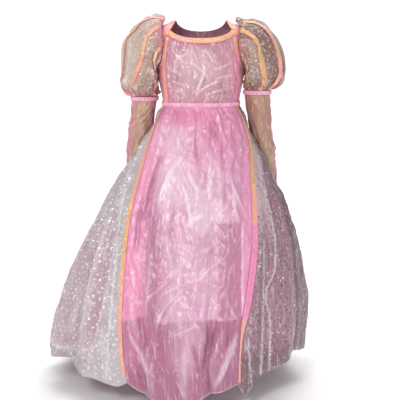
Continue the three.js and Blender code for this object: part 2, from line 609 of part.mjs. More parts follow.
// Each panel of the outer skirt has its last row on the hem
function buildSkirtShell() {
  const rows = indexes([...SKIRT_ROWS, 0]);
  const front = (u, v) => frontPanelPoint(u, rowHeight([...SKIRT_ROWS, frontHem(u)], v));
  add("skirt_front_panel", FINISH.organza, wall(front, steps(-1, 1, COLUMNS.frontPanel), rows, 0, CLOTH,
    { side: 1, level: [0] }));
  for (const [side, word] of [[-1, "left"], [1, "right"]]) {
    const half = (u, v) => sideSkirtPoint(side, u, rowHeight([...SKIRT_ROWS, sideHem(side, u)], v));
    const seam = GLITTER_SEAM[word];
    const halfGap = (v) => SEAM / 2 / stretchOf(half, seam, v);
    const sidePanel = (u, v) => half(u * (seam - halfGap(v)), v);
    const backPanel = (u, v) => half(mix(seam + halfGap(v), 1, u), v);
    const across = steps(0, 1, COLUMNS.sideSkirt);
    add(`glitter_skirt_side_${word}`, FINISH.glitter, wall(sidePanel, across, rows, 0, CLOTH,
      { side, level: [0] }));
    add(`glitter_skirt_back_${word}`, FINISH.glitter, wall(backPanel, across, rows, 0, CLOTH,
      { side, level: [0] }));
    buildSkirtRibbon(side, word);
  }
}
function buildSkirtRibbon(side, word) {
  const table = SKIRT_RIBBONS[word];
  const rows = [SKIRT_RIBBON_TOP, ...SKIRT_ROWS.slice(1), table.at(-1).z];
  const edge = (u, z) => sideSkirtPoint(side, u, z);
  const point = (u, v) => {
    const z = rowHeight(rows, v);
    return edge((0.4 + u * at(table, "z", z).width) / stretchOf(edge, 0.01, z), z);
  };
  add(`skirt_ribbon_${word}`, FINISH.sequin, wall(point, steps(0, 1, 2), indexes(rows),
    CLOTH + LAID, CLOTH + LAID + RIBBON_THICK, { side, level: [0] }));
}

// The layers under the skirt, sewn up from their gores
function buildLayer(name, finish, table, hem, waves) {
  const rows = [...LAYER_ROWS.filter((z) => z > hem + 20), hem];
  const surface = (angle, v) => {
    const z = rowHeight(rows, v);
    const down = clamp((WAIST - 30 - z) / 500);
    return layerPoint(table, angle, z, waves.depth * down * Math.cos(waves.count * angle + waves.turn));
  };
  const inset = (angle, v) => SEAM / 2 / stretchOf(surface, angle, v);
  for (const gore of GORES) {
    const [from, to] = [gore.from * degree, gore.to * degree];
    const point = (u, v) => surface(mix(from + inset(from, v), to - inset(to, v), u), v);
    add(`${name}_${gore.word}`, finish, wall(point, steps(0, 1, COLUMNS.gore), indexes(rows), 0, CLOTH,
      { side: 1, level: [0] }));
  }
}

buildBodiceFront();
for (const [side, word] of [[-1, "left"], [1, "right"]]) {
  buildBodiceSide(side, word);
  buildBodiceBack(side, word);
  buildPrincessRibbon(side, word);
  buildSleeve(side, word);
}
buildBackTrims();
buildWaistBand();
buildSkirtShell();
buildLayer("skirt_lining", FINISH.satin, LINING, LINING_HEM, { depth: 5, count: 9, turn: 0.6 });
buildLayer("petticoat", FINISH.net, PETTICOAT, PETTICOAT_HEM, { depth: 3, count: 7, turn: 1.4 });

export default dress;
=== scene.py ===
"""Looks of the child's princess costume dress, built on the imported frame.

The surfaces repeat the part's own sizes, in millimetres: +Z up, front towards -Y, "left" towards -X.
Meshes are turned to metres when they are made.
"""

import math

import bpy
import numpy as np
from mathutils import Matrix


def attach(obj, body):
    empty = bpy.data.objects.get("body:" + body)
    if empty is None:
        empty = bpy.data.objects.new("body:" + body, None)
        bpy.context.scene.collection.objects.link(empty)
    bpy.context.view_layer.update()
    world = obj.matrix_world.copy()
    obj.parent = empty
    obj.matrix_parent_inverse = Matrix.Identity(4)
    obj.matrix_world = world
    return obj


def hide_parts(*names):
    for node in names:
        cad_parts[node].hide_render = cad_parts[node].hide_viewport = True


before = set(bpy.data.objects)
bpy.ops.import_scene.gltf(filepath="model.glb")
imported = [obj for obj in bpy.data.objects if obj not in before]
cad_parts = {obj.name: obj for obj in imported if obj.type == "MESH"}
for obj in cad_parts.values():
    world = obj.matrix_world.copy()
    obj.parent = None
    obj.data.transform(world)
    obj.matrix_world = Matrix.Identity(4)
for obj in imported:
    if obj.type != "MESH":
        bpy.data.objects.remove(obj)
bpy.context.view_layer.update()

MM = 0.001
CLOTH = 1.5  # wall of the solids; the cloth here lies in the middle of it
LAID = 0.6
CLOTH_LIFT = 0.9
CLOTH_THICK = 0.5
RIBBON_LIFT = CLOTH + LAID + 0.3
STRIP_THICK = 0.7
HEM_RADIUS = 1.1
CORD_SIDES = 6
SHARP_DEGREES = 60
WAIST = -205
SKIRT_TOP = -205.3
CUFF_Z = -433
ARM_CLEAR = 8
SIDES = {"left": -1, "right": 1}


def table(columns, *rows):
    """A short table with named columns, a row for each section."""
    return {name: np.array(values, float) for name, values in zip(columns.split(), zip(*rows))}


# Half sizes of the bodice at each height, and the sideways place of the princess seams
BODICE_SQUARE = 2.4
BODICE = table(
    "z side front back",
    (-205, 94, 73, 70),
    (-180, 98, 77, 72),
    (-145, 105, 83, 76),
    (-110, 109, 86, 79),
    (-75, 110, 79, 78),
    (-45, 110, 61, 67),
    (-20, 110, 37, 46),
    (-8, 81, 19, 26),
    (0, 61, 2, 3),
)
PRINCESS = table("z x", (-205, 82), (-160, 86), (-110, 89), (-75, 86.5), (-45, 81), (-25, 76))
NECK = {"shoulder_x": 61, "corner_x": 76, "corner_z": -25, "front_z": -45, "back_z": -28, "ribbon": 12}
ARMHOLE = {"top": -13, "bottom": -115, "front": 33, "back": 30}
SHOULDER_Z = -1.5

# Reach of the outer skirt and of the layers under it
SKIRT = table(
    "z left right front back square open_left open_right",
    (-205, 94, 94, 73, 70, 2.4, 84, 80),
    (-214, 96, 96, 75, 72, 2.4, 89, 85),
    (-240, 117, 112, 91, 86, 2.35, 103, 99),
    (-300, 153, 141, 122, 114, 2.3, 125, 116),
    (-370, 196, 176, 154, 148, 2.25, 144, 118),
    (-450, 243, 210, 186, 182, 2.2, 165, 121),
    (-540, 288, 237, 216, 213, 2.15, 177, 119),
    (-630, 332, 254, 241, 240, 2.1, 184, 107),
    (-710, 361, 266, 262, 260, 2.1, 187, 94),
    (-790, 386, 261, 275, 272, 2.1, 183, 88),
    (-890, 396, 253, 284, 280, 2.1, 168, 86),
)
LINING = table(
    "z left right front back square",
    (-205, 92.2, 92.2, 71.2, 68.2, 2.4),
    (-214, 93.5, 93.5, 72.2, 69.2, 2.4),
    (-240, 104, 102, 82, 78, 2.35),
    (-300, 118, 115, 108, 102, 2.3),
    (-370, 130, 127, 138, 132, 2.25),
    (-450, 152, 146, 167, 162, 2.2),
    (-540, 235, 205, 196, 192, 2.15),
    (-630, 300, 238, 220, 218, 2.1),
    (-710, 341, 252, 239, 237, 2.1),
    (-840, 371, 243, 256, 252, 2.1),
)
PETTICOAT = table(
    "z left right front back square",
    (-205, 90.4, 90.4, 69.4, 66.4, 2.4),
    (-214, 90.8, 90.8, 69.8, 66.8, 2.4),
    (-240, 94, 93, 74, 71, 2.35),
    (-300, 104, 103, 95, 90, 2.3),
    (-370, 116, 114, 122, 117, 2.25),
    (-450, 136, 131, 149, 145, 2.2),
    (-540, 200, 182, 178, 174, 2.15),
    (-630, 268, 215, 201, 199, 2.1),
    (-710, 312, 232, 218, 216, 2.1),
)
PETTICOAT_HEM = -698
LINING_HEM = -822
FRONT_HEM = table(
    "place z", (-1, -848), (-0.7, -876), (-0.4, -885), (0, -883), (0.3, -868), (0.65, -858), (1, -847)
)
SIDE_HEM = table(
    "place left right",
    (0, -848, -847),
    (0.028, -860, -877),
    (0.056, -858, -862),
    (0.09, -848, -843),
    (0.14, -840, -831),
    (0.19, -823, -819),
    (0.26, -829, -811),
    (0.36, -843, -830),
    (0.5, -857, -848),
    (0.75, -849, -853),
    (1, -852, -852),
)

# Large folds of the skirt: place at the waist and at the hem, half width as a share of the panel, depth
FRONT_FOLDS = (
    (-0.62, -0.74, 0.08, -8),
    (-0.42, -0.48, 0.1, 8),
    (-0.18, -0.2, 0.09, -7),
    (0.02, 0.08, 0.1, 7),
    (0.28, 0.36, 0.08, -9),
    (0.5, 0.62, 0.09, 7),
)
SIDE_FOLDS = {
    "left": (
        (0.1, 0.11, 0.035, 12),
        (0.18, 0.19, 0.03, -9),
        (0.27, 0.27, 0.04, 13),
        (0.37, 0.37, 0.035, -12),
        (0.46, 0.46, 0.04, 12),
        (0.57, 0.56, 0.045, -13),
        (0.68, 0.67, 0.04, 12),
        (0.78, 0.78, 0.035, -10),
        (0.89, 0.9, 0.04, 11),
    ),
    "right": (
        (0.09, 0.1, 0.035, -9),
        (0.19, 0.2, 0.04, 13),
        (0.29, 0.3, 0.035, -12),
        (0.4, 0.39, 0.045, 11),
        (0.5, 0.51, 0.035, -10),
        (0.6, 0.61, 0.04, 12),
        (0.72, 0.71, 0.04, -13),
        (0.82, 0.82, 0.035, 10),
        (0.92, 0.91, 0.03, -8),
    ),
}
GATHERS = {"front": 9, "side": 8, "puff": 8}
SKIRT_RIBBONS = {
    "left": table("z width", (-209, 9), (-500, 11), (-835, 8)),
    "right": table("z width", (-209, 9), (-460, 14), (-680, 15), (-740, 6), (-845, 5)),
}

# Long sleeve at +X, and the rings of a puff at +X from the armhole to the band
ARM = table(
    "z x y radius",
    (-188, 142, 4, 31.5),
    (-215, 145, 8, 30.5),
    (-260, 151, 16, 28.5),
    (-310, 158, 26, 27),
    (-360, 166, 36, 25),
    (-400, 172, 44, 23.5),
    (-433, 177, 50, 21.5),
)
PUFF = table(
    "t outer_x outer_z inner_x inner_z front back y",
    (0, 95, -12, 111, -117, 45, 43, 0),
    (0.08, 88, -1, 111.5, -121, 53, 50, 0),
    (0.18, 102, 6, 111, -129, 64, 59, 0),
    (0.3, 134, 4, 110, -138, 71, 66, 0),
    (0.42, 164, -13, 108.5, -146, 74, 69, 0),
    (0.54, 188, -44, 106.5, -154, 73, 68, 1),
    (0.66, 203, -86, 105, -162, 68, 63, 1),
    (0.77, 207, -128, 104, -169, 60, 57, 2),
    (0.87, 202, -161, 104.5, -176, 50, 49, 3),
    (0.95, 187, -181, 106.5, -183, 39.5, 39.5, 4),
    (1, 175, -188, 109, -188, 33, 33, 4),
)
PUFF_LEAN = 18
# What each puff has of its own: how far its top is lifted, its low end spread and its band raised
PUFF_SIDES = {
    -1: {"lift": 6, "spread": -5, "raise": 0},
    1: {"lift": -4, "spread": 7, "raise": 15},
}
PUFF_RIBBON_WIDTH = 12
PUFF_RIBBONS = {
    "left": table(
        "t front_inner front outer rear rear_inner",
        (0.11, 92, 46, 20, -50, -112),
        (0.33, 118, 65, 22, -51, -115),
        (0.55, 130, 74, 25, -53, -118),
        (0.97, 138, 60, 28, -55, -122),
    ),
    "right": table(
        "t front_inner front outer rear rear_inner",
        (0.11, 112, 51, 23, -50, -112),
        (0.33, 124, 66, 27, -51, -115),
        (0.55, 131, 77, 34, -53, -118),
        (0.97, 138, 92, 52, -55, -122),
    ),
}

# Creases of the front panel and of the bodice, seen from the front:
# x and z of both ends, bow to one side, half width, height of the ridge or depth of the trough
FRONT_CREASES = (
    (-67, -346, -103, -438, 2.4, 7.2, 4.5),
    (-46, -384, -24, -488, -3.6, 6.2, 4),
    (-31, -350, -5, -404, 4.8, 6.7, 3.5),
    (-40, -486, 12, -454, -4.8, 7.2, 4),
    (26, -316, 24, -427, 2.4, 6.2, 4),
    (43, -316, 50, -409, -2.4, 5.8, 4),
    (32, -231, 63, -303, -2.4, 3.8, 3),
    (5, -288, 19, -327, 0, 3.6, 2.5),
    (69, -232, 68, -273, 0, 4.8, 2.5),
    (67, -360, 112, -463, 4.8, 4.3, 3),
    (77, -397, 88, -479, 2.4, 5.8, 3.5),
    (38, -341, 7, -418, -2.4, 4.8, 2.5),
    (-34, -307, -51, -339, 0, 3.8, 2),
    (-113, -376, -136, -477, 2.4, 7.2, -5),
    (-145, -428, -158, -542, 0, 7.2, -5),
    (-92, -311, -125, -417, 2.4, 6.2, -4),
    (-15, -235, -7, -343, 2.4, 5.8, -3),
    (32, -240, 36, -286, 0, 8.4, -3.5),
    (51, -309, 59, -435, 2.4, 6.2, -4),
    (-60, -434, -74, -514, 0, 7.2, -3),
    (-130, -657, -66, -602, -4.8, 4.1, 3),
    (-87, -643, -21, -610, -7.2, 4.3, 2.5),
    (-104, -709, -49, -635, -9.6, 4.1, 3),
    (-7, -607, 38, -565, -2.4, 5.8, 3),
    (5, -540, 35, -522, 0, 7.2, 2.5),
    (59, -643, 89, -699, 2.4, 3.8, 3),
    (95, -584, 117, -549, 0, 3.8, 2.5),
    (-31, -648, 7, -598, 2.4, 4.8, 2),
    (-170, -574, -152, -636, 2.4, 4.3, 3),
    (-164, -655, -159, -727, 0, 4.3, 2.5),
    (-173, -734, -123, -823, -4.8, 5.3, 4),
    (-145, -654, -130, -767, 2.4, 7.2, -4),
    (-73, -736, -7, -707, -2.4, 4.8, 3),
    (-21, -748, 2, -828, 0, 5.3, -4),
    (-42, -751, -35, -862, 0, 7.2, 3),
    (35, -689, 5, -833, 2.4, 8.4, -6),
    (87, -720, 30, -852, -2.4, 8.4, 4.5),
    (-59, -834, -38, -876, 0, 4.8, 3),
    (-96, -718, -101, -845, 4.8, 9.6, -3),
    (7, -744, -12, -698, 0, 4.8, 2.5),
    (-78, -527, -64, -577, 2.4, 4.8, 2.5),
    (-121, -539, -128, -652, -2.4, 7.2, 3),
    (-137, -721, -145, -654, 0, 5.8, 3),
    (16, -535, -35, -563, 4.8, 4.8, 2),
)
BODICE_CREASES = (
    (-12, -177, 19, -114, -2.4, 3.8, 2.6),
    (-7, -175, 51, -144, -3.6, 3.4, 2.2),
    (2, -185, 73, -164, -2.4, 3.4, 2),
    (-15, -182, -22, -124, 2.4, 3.6, -1.8),
    (-73, -67, -41, -103, 2.4, 3.6, 2),
    (-22, -65, -10, -98, 0, 3.4, 1.8),
    (10, -72, 31, -105, -2.4, 3.6, 2),
    (-66, -96, -22, -79, -2.4, 3.6, 1.8),
    (-78, -118, -44, -136, -2.4, 3.4, 2),
    (-76, -142, -41, -156, 2.4, 3.1, 1.8),
    (-74, -166, -49, -175, 0, 3.1, 1.8),
    (29, -119, 78, -98, 2.4, 3.6, 2),
    (31, -143, 86, -132, -2.4, 3.1, 1.8),
    (-37, -188, -56, -163, 2.4, 3.4, 2),
    (17, -114, 7, -153, 2.4, 3.8, -2),
    (-31, -100, 12, -134, -4.8, 5.3, 1.8),
    (39, -180, 76, -186, 0, 3.4, 1.6),
    (-51, -110, -61, -149, 0, 3.8, -1.5),
    (49, -153, 64, -188, 2.4, 3.8, -1.6),
)


def mix(a, b, t):
    return a + (b - a) * t


def clamp(t):
    return np.clip(t, 0, 1)


def ease(t):
    t = clamp(t)
    return t * t * (3 - 2 * t)


def bump(t):
    return np.exp(-t * t)


def at(rows, key, value):
    """Smooth values of every column of a table at the given heights or places."""
    keys = rows[key]
    value = np.asarray(value, float)
    rising = 1 if keys[1] > keys[0] else -1
    i = np.clip(np.searchsorted(rising * keys, rising * value, side="right") - 1, 0, len(keys) - 2)
    span = keys[i + 1] - keys[i]
    t = clamp((value - keys[i]) / span)
    found = {}
    for column, values in rows.items():
        slopes = np.diff(values) / np.diff(keys)
        before = np.concatenate([slopes[:1], slopes[:-1]])
        after = np.concatenate([slopes[1:], slopes[-1:]])
        first = (slopes + before)[i] / 2
        second = (slopes + after)[i] / 2
        found[column] = (
            values[i] * (1 + 2 * t) * (1 - t) ** 2
            + values[i + 1] * t * t * (3 - 2 * t)
            + span * (first * t * (1 - t) ** 2 - second * t * t * (1 - t))
        )
    return found


def points(x, y, z):
    return np.stack(np.broadcast_arrays(x, y, z), axis=-1).astype(float)


def oval(angle, left, right, front, back, square):
    """Rounded oval: angle 0 is the front, 90 degrees is +X, 180 degrees is the back."""
    side = np.sin(angle)
    depth = np.maximum(0, 1 - np.abs(side) ** square) ** (1 / square)
    x = side * np.where(side < 0, left, right)
    return x, np.where(np.cos(angle) > 0, -front * depth, back * depth)


def normals(point, u, v, side=1):
    step = 1e-3
    along_u = point(u + step, v) - point(u - step, v)
    along_v = point(u, v + step) - point(u, v - step)
    outward = np.cross(along_v, along_u) * side
    return outward / np.maximum(np.linalg.norm(outward, axis=-1, keepdims=True), 1e-9)


def raised(point, relief, side=1):
    """The same surface with its creases pushed out or in along its normals."""

    def creased_point(u, v):
        place = point(u, v)
        return place + normals(point, u, v, side) * relief(u, v, place)[..., None]

    return creased_point


def stretch_of(point, u, v):
    """Length along a surface for each unit of its first number."""
    return np.linalg.norm(point(u - 0.01, v) - point(u + 0.01, v), axis=-1) / 0.02


# Wrinkles
LUMP_GRID = 64


def lumps(a, b, seed):
    """Smooth random lumps from 0 to 1 over two coordinates, one lump to a unit."""
    values = np.random.default_rng(seed).random((LUMP_GRID, LUMP_GRID))
    i, j = np.floor(a).astype(int), np.floor(b).astype(int)
    s, t = ease(a - i), ease(b - j)
    near = lambda k, m: values[(i + k) % LUMP_GRID, (j + m) % LUMP_GRID]
    return mix(mix(near(0, 0), near(1, 0), s), mix(near(0, 1), near(1, 1), s), t)


def crumple(a, b, width, length, seed, leans=(0.1, 0.75, -0.6)):
    """Straight ridges from 0 to about 1, in patches that each lean their own way, as in crinkled organza."""
    total = 0
    for k, lean in enumerate(leans):
        x = (a * math.cos(lean) + b * math.sin(lean)) / width / 1.6
        y = (b * math.cos(lean) - a * math.sin(lean)) / length
        wander = x + 1.5 * lumps(0.6 * x + 3, 0.8 * y + 5, seed + k)
        ridge = 1 - np.abs(2 * np.mod(wander, 1) - 1)
        patch = ease(2.6 * lumps(1.1 * x + 11, y + 9, seed + k + 5) - 0.9)
        total = total + ridge**2.5 * patch
    return total / 1.4


def creased(a, b, creases):
    total = np.zeros(np.broadcast(a, b).shape)
    for a0, b0, a1, b1, bow, half, height in creases:
        long = math.hypot(a1 - a0, b1 - b0)
        da, db = (a1 - a0) / long, (b1 - b0) / long
        along = ((a - a0) * da + (b - b0) * db) / long
        off = (a - a0) * db - (b - b0) * da - bow * 4 * along * (1 - along)
        ends = ease((along + 0.15) / 0.4) * ease((1.15 - along) / 0.4)
        total += height * ends * bump(off / half)
    return total


def folds_of_length(rng, count, reach, low, high, depth):
    """Uneven creases for parts that the photograph doesn't show, as large as those that it does."""
    rows = []
    for _ in range(count):
        a, b = rng.uniform(-reach, reach), rng.uniform(low, high)
        lean, long = rng.uniform(-0.5, 0.5), rng.uniform(25, 80)
        height = rng.choice([-1, 1]) * rng.uniform(0.4, 1) * depth
        end = (a + long * math.sin(lean), b - long * math.cos(lean))
        rows.append((a, b, *end, rng.uniform(-5, 5), rng.uniform(3, 7), height))
    return rows


# Bodice
def bodice_point(angle, z, half=0):
    row = at(BODICE, "z", z)
    x, y = oval(angle, row["side"], row["side"], row["front"], row["back"], BODICE_SQUARE)
    return points(x, y + half * 0.15, z)


def angle_at(x, side):
    return np.arcsin(np.clip(x / side, 0, 1))


def bodice_angle(x, z):
    return angle_at(x, at(BODICE, "z", z)["side"])


def neckline(u):
    return mix(NECK["front_z"], NECK["corner_z"], clamp(np.abs(u)) ** 2.4)


def bodice_front_flat(u, v):
    z = mix(WAIST, neckline(u), v)
    return bodice_point(u * bodice_angle(at(PRINCESS, "z", z)["x"] - 0.15, z), z, -1)


def bodice_front_relief(u, v, place):
    x, z = place[..., 0], place[..., 2]
    window = ease(((1 - np.abs(u)) * 84 - 5) / 9) * ease((neckline(u) - 13 - z) / 9) * ease((z + 200) / 6)
    gathers = 0.9 * np.cos(x / 3.1 + 2 * lumps(x / 20, z / 40, 5)) * ease((-165 - z) / 30)
    crinkles = 2.2 * crumple(x, z, 8, 38, 31, (0.55, -0.6, 1.25, 0.05)) - 0.6
    fine = creased(x, z, BODICE_CREASES)
    sharp = np.maximum(np.sign(fine) * np.abs(fine) ** 1.6 * 0.75, -0.8)
    return window * (sharp + 0.5 * crinkles + gathers)


bodice_front_point = raised(bodice_front_flat, bodice_front_relief, -1)


def side_edge(z):
    above = mix(NECK["corner_x"], NECK["shoulder_x"], clamp(1 - z / NECK["corner_z"]) ** 0.8)
    return np.where(z < NECK["corner_z"], at(PRINCESS, "z", z)["x"], above) + 0.15


def back_neck_x(z):
    rise = clamp(z / NECK["back_z"])
    return np.maximum(0.15, NECK["shoulder_x"] * (1 - rise**2.2) ** (1 / 2.2))


def armhole_angle(z, reach):
    middle = (ARMHOLE["top"] + ARMHOLE["bottom"]) / 2
    off = clamp(np.abs((z - middle) / (ARMHOLE["top"] - middle)))
    return np.radians(90 - reach * np.sqrt(1 - off * off))


def bodice_panel(side, half, edge, reach):
    def point(u, z):
        angle = mix(bodice_angle(edge(z), z), armhole_angle(z, reach), u)
        return bodice_point(side * (angle if half < 0 else math.pi - angle), z, half)

    return point


# Sleeves
def armhole_seat(turn):
    z = mix(ARMHOLE["bottom"] - 1.5, ARMHOLE["top"] + 0.5, (1 + np.cos(turn)) / 2)
    forwards = np.sin(turn)
    reach = np.where(forwards > 0, ARMHOLE["front"], ARMHOLE["back"]) + 1
    angle = np.radians(90 - forwards * reach)
    surface = lambda a, height: bodice_point(a, height, np.where(forwards > 0, -1, 1))
    return surface(angle, z) + normals(surface, angle, z, -1) * (CLOTH + 0.9)


def puff_ring(side, t, turn):
    row = at(PUFF, "t", t)
    own = PUFF_SIDES[side]
    raised_by = own["raise"] * ease((t - 0.45) / 0.5)
    outwards = (1 + np.cos(turn)) / 2
    forwards = np.sin(turn)
    lean = PUFF_LEAN * bump((t - 0.6) / 0.22) * forwards**2
    inner_x = row["inner_x"] + raised_by * 0.2
    outer_x = row["outer_x"] + own["spread"] * bump((t - 0.72) / 0.2)
    outer_z = row["outer_z"] + own["lift"] * bump((t - 0.2) / 0.16)
    return points(
        mix(inner_x, outer_x, outwards) - lean,
        row["y"] - forwards * np.where(forwards > 0, row["front"], row["back"]),
        mix(row["inner_z"], outer_z, outwards) + raised_by,
    )


def puff_flat(side, turn, t):
    turn, t = np.broadcast_arrays(np.asarray(turn, float), np.asarray(t, float))
    place = puff_ring(side, t, turn)
    seated = (clamp(1 - t / 0.3) ** 1.6)[..., None]
    place = place + (armhole_seat(turn) - puff_ring(side, np.zeros_like(t), turn)) * seated
    centre = (puff_ring(side, t, np.zeros_like(t)) + puff_ring(side, t, np.full_like(t, math.pi))) / 2
    gathered = 2.6 * bump((t - 0.14) / 0.12) + 2.8 * bump((t - 0.88) / 0.09) + 1.2
    ends = ease(t / 0.1) * ease((1 - t) / 0.08)
    fold = gathered * ends * np.cos(GATHERS["puff"] * turn + 2.2 * t)
    out = place - centre
    place = place + out / np.linalg.norm(out, axis=-1, keepdims=True) * fold[..., None]
    return place * np.array([side, 1, 1])


def puff_relief(side):
    def relief(turn, t, place):
        ends = ease(t / 0.1) * ease((1 - t) / 0.06)
        pleats = np.cos(31 * turn + 3 * lumps(turn * 2, t * 3, 8)) * (
            1.1 * bump((t - 0.1) / 0.13) + 1.2 * bump((t - 0.92) / 0.1)
        )
        # Whole turns of the lumps, so that the crinkles meet again behind
        a, b = 60 * np.cos(turn) + 200, 60 * np.sin(turn) + 300 * t
        return ends * (pleats + 6 * crumple(a, b, 19, 80, 50 + side, (0.1, 0.6, -0.5)) - 1.6)

    return relief


def arm_flat(side, turn, z):
    row = at(ARM, "z", z)
    x = row["x"] + row["radius"] * np.cos(turn)
    return points(side * x, row["y"] - row["radius"] * np.sin(turn), z)


def arm_relief(side):
    creases = folds_of_length(np.random.default_rng(70 + side), 34, 90, -420, -215, 3.4)

    def relief(turn, z, place):
        away = np.mod(turn + math.pi, 2 * math.pi) - math.pi
        ends = ease((-198 + PUFF_SIDES[side]["raise"] - z) / 10) * ease((z + 430) / 8)
        a, b = 40 * np.cos(turn) + 100, 40 * np.sin(turn) + z
        seam = ease((math.pi - np.abs(away)) / 0.4)
        crinkles = 3.4 * crumple(a, b, 12, 50, 80 + side, (0.2, 0.7, -0.6))
        return ends * (creased(away * 28, z, creases) * seam + crinkles - 0.9)

    return relief


# Skirt
def arm_hollow(x, y, z, reach):
    """How far a long sleeve presses the skirt in at a point, and how much of that hollow is there."""
    arm = at(ARM, "z", np.maximum(z, CUFF_Z))
    away = np.hypot(arm["x"], arm["y"])
    radius = arm["radius"] + ARM_CLEAR
    width = np.arcsin(radius / away)
    off = np.abs(np.arctan2(np.abs(x), -y) - np.arctan2(arm["x"], -arm["y"])) / width
    share = (1 - ease((off - 1) / 1.2)) * (1 - ease((CUFF_Z - 12 - z) / 90))
    return share, np.maximum(0, reach - (away - radius)) * share


def layer_point(rows, angle, z, fold):
    row = at(rows, "z", z)
    x, y = oval(angle, row["left"], row["right"], row["front"], row["back"], row["square"])
    reach = np.hypot(x, y)
    share, depth = arm_hollow(x, y, z, reach)
    now = reach - depth + fold * (1 - share)
    return points(x * now / reach, y * now / reach, z)


def fold_at(place, z, folds, gathers, share):
    down = clamp((WAIST - 5 - z) / 640)
    depth = 2.2 * ease((WAIST - z) / 40) * (1 - 0.75 * ease((-290 - z) / 160))
    depth = depth * np.cos(2 * math.pi * gathers * share + 3 * down)
    for waist, hem, half, height in folds:
        depth = depth + height * down**0.75 * bump((place - mix(waist, hem, down)) / half)
    return depth


def front_hem(u):
    return at(FRONT_HEM, "place", u)["z"]


def front_width(z):
    row = at(SKIRT, "z", z)
    return row["open_left"] + row["open_right"]


def front_panel_flat(u, v):
    z = mix(SKIRT_TOP, front_hem(u), v)
    row = at(SKIRT, "z", z)
    left = angle_at(row["open_left"] - 0.15, row["left"])
    right = angle_at(row["open_right"] - 0.15, row["right"])
    flat = ease((((1 - np.abs(u)) * front_width(z)) / 2 - 2) / 16)
    fold = flat * fold_at(u, z, FRONT_FOLDS, GATHERS["front"], (u + 1) / 2)
    return layer_point(SKIRT, mix(-left, right, (u + 1) / 2), z, fold)


def front_panel_relief(u, v, place):
    x, z = place[..., 0], place[..., 2]
    window = ease((((1 - np.abs(u)) * front_width(z)) / 2 - 3) / 14) * ease((-207 - z) / 14)
    pleats = 1.1 * np.cos(u * 62 + 6 * lumps(u * 9, z / 60, 3))
    pleats = pleats + 0.8 * np.cos(u * 101 + 5 * lumps(u * 7, z / 50, 4))
    pleats = pleats * (1 - ease((-215 - z) / 120))
    soft = 7 * crumple(u * 130, z, 40, 190, 11, (0.02, 0.3, -0.25)) - 1.6
    fine = (1.6 + 1.8 * ease((z + 560) / 120)) * (crumple(x, z, 13, 60, 12, (0.15, 0.6, -0.45)) - 0.25)
    return window * (1.3 * creased(x, z, FRONT_CREASES) + pleats + soft + fine)


front_panel_point = raised(front_panel_flat, front_panel_relief)


def side_hem(word, u):
    return at(SIDE_HEM, "place", u)[word]


def side_skirt_at(word, u, z):
    side = SIDES[word]
    row = at(SKIRT, "z", z)
    front = angle_at(row["open_" + word] + 0.15, row[word])
    back = math.pi - np.arcsin(0.2 / row[word])
    width = (row["left"] + row["right"]) / 2 + row["back"] + row["front"] * 0.5
    flat = ease((np.abs(u) * width - 17) / 22) * ease(((1 - u) * width - 4) / 20)
    fold = flat * fold_at(u, z, SIDE_FOLDS[word], GATHERS["side"], u)
    return layer_point(SKIRT, side * mix(front, back, u), z, fold)


def side_skirt_relief(word):
    seed = 20 if word == "left" else 26

    def relief(u, v, place):
        z = place[..., 2]
        width = mix(190, 700, clamp((WAIST - z) / 600))
        window = ease((u * width - 17) / 20) * ease(((1 - u) * width - 3) / 16) * ease((-207 - z) / 14)
        pleats = 1.6 * np.cos(u * 150 + 4 * lumps(u * 14, z / 70, seed)) * (1 - ease((-220 - z) / 160))
        down = ease((-240 - z) / 300)
        long_folds = (9 * crumple(u * 430, z, 30, 420, seed + 1, (0.02, 0.07, -0.06)) - 2.6) * down
        crinkles = 3 * crumple(u * 430, z, 14, 80, seed + 2, (0.1, 0.4, -0.35))
        return window * (pleats + long_folds + crinkles - 0.8)

    return relief


def side_skirt_point(word):
    flat = lambda u, v: side_skirt_at(word, u, mix(SKIRT_TOP, side_hem(word, u), v))
    return raised(flat, side_skirt_relief(word), SIDES[word])


def under_layer(rows, hem, depth, count, turn, seed):
    def point(angle, v):
        z = mix(SKIRT_TOP, hem, v)
        down = clamp((WAIST - 30 - z) / 500)
        place = layer_point(rows, angle, z, depth * down * np.cos(count * angle + turn))
        a, b = 90 * np.cos(angle) + 200, 90 * np.sin(angle) + z / 2
        ruffled = (2.4 * crumple(a, b, 26, 40, seed) - 1.2) * ease((-215 - z) / 40)
        out = place * np.array([1, 1, 0])
        return place + out / np.linalg.norm(out, axis=-1, keepdims=True) * ruffled[..., None]

    return point


# Meshes
def full_turn(count, start=0.0):
    return start + np.arange(count) * 2 * math.pi / count


def new_object(name, places, faces=()):
    mesh = bpy.data.meshes.new(name)
    mesh.from_pydata(places, [], faces)
    made = bpy.data.objects.new(name, mesh)
    bpy.context.collection.objects.link(made)
    return made


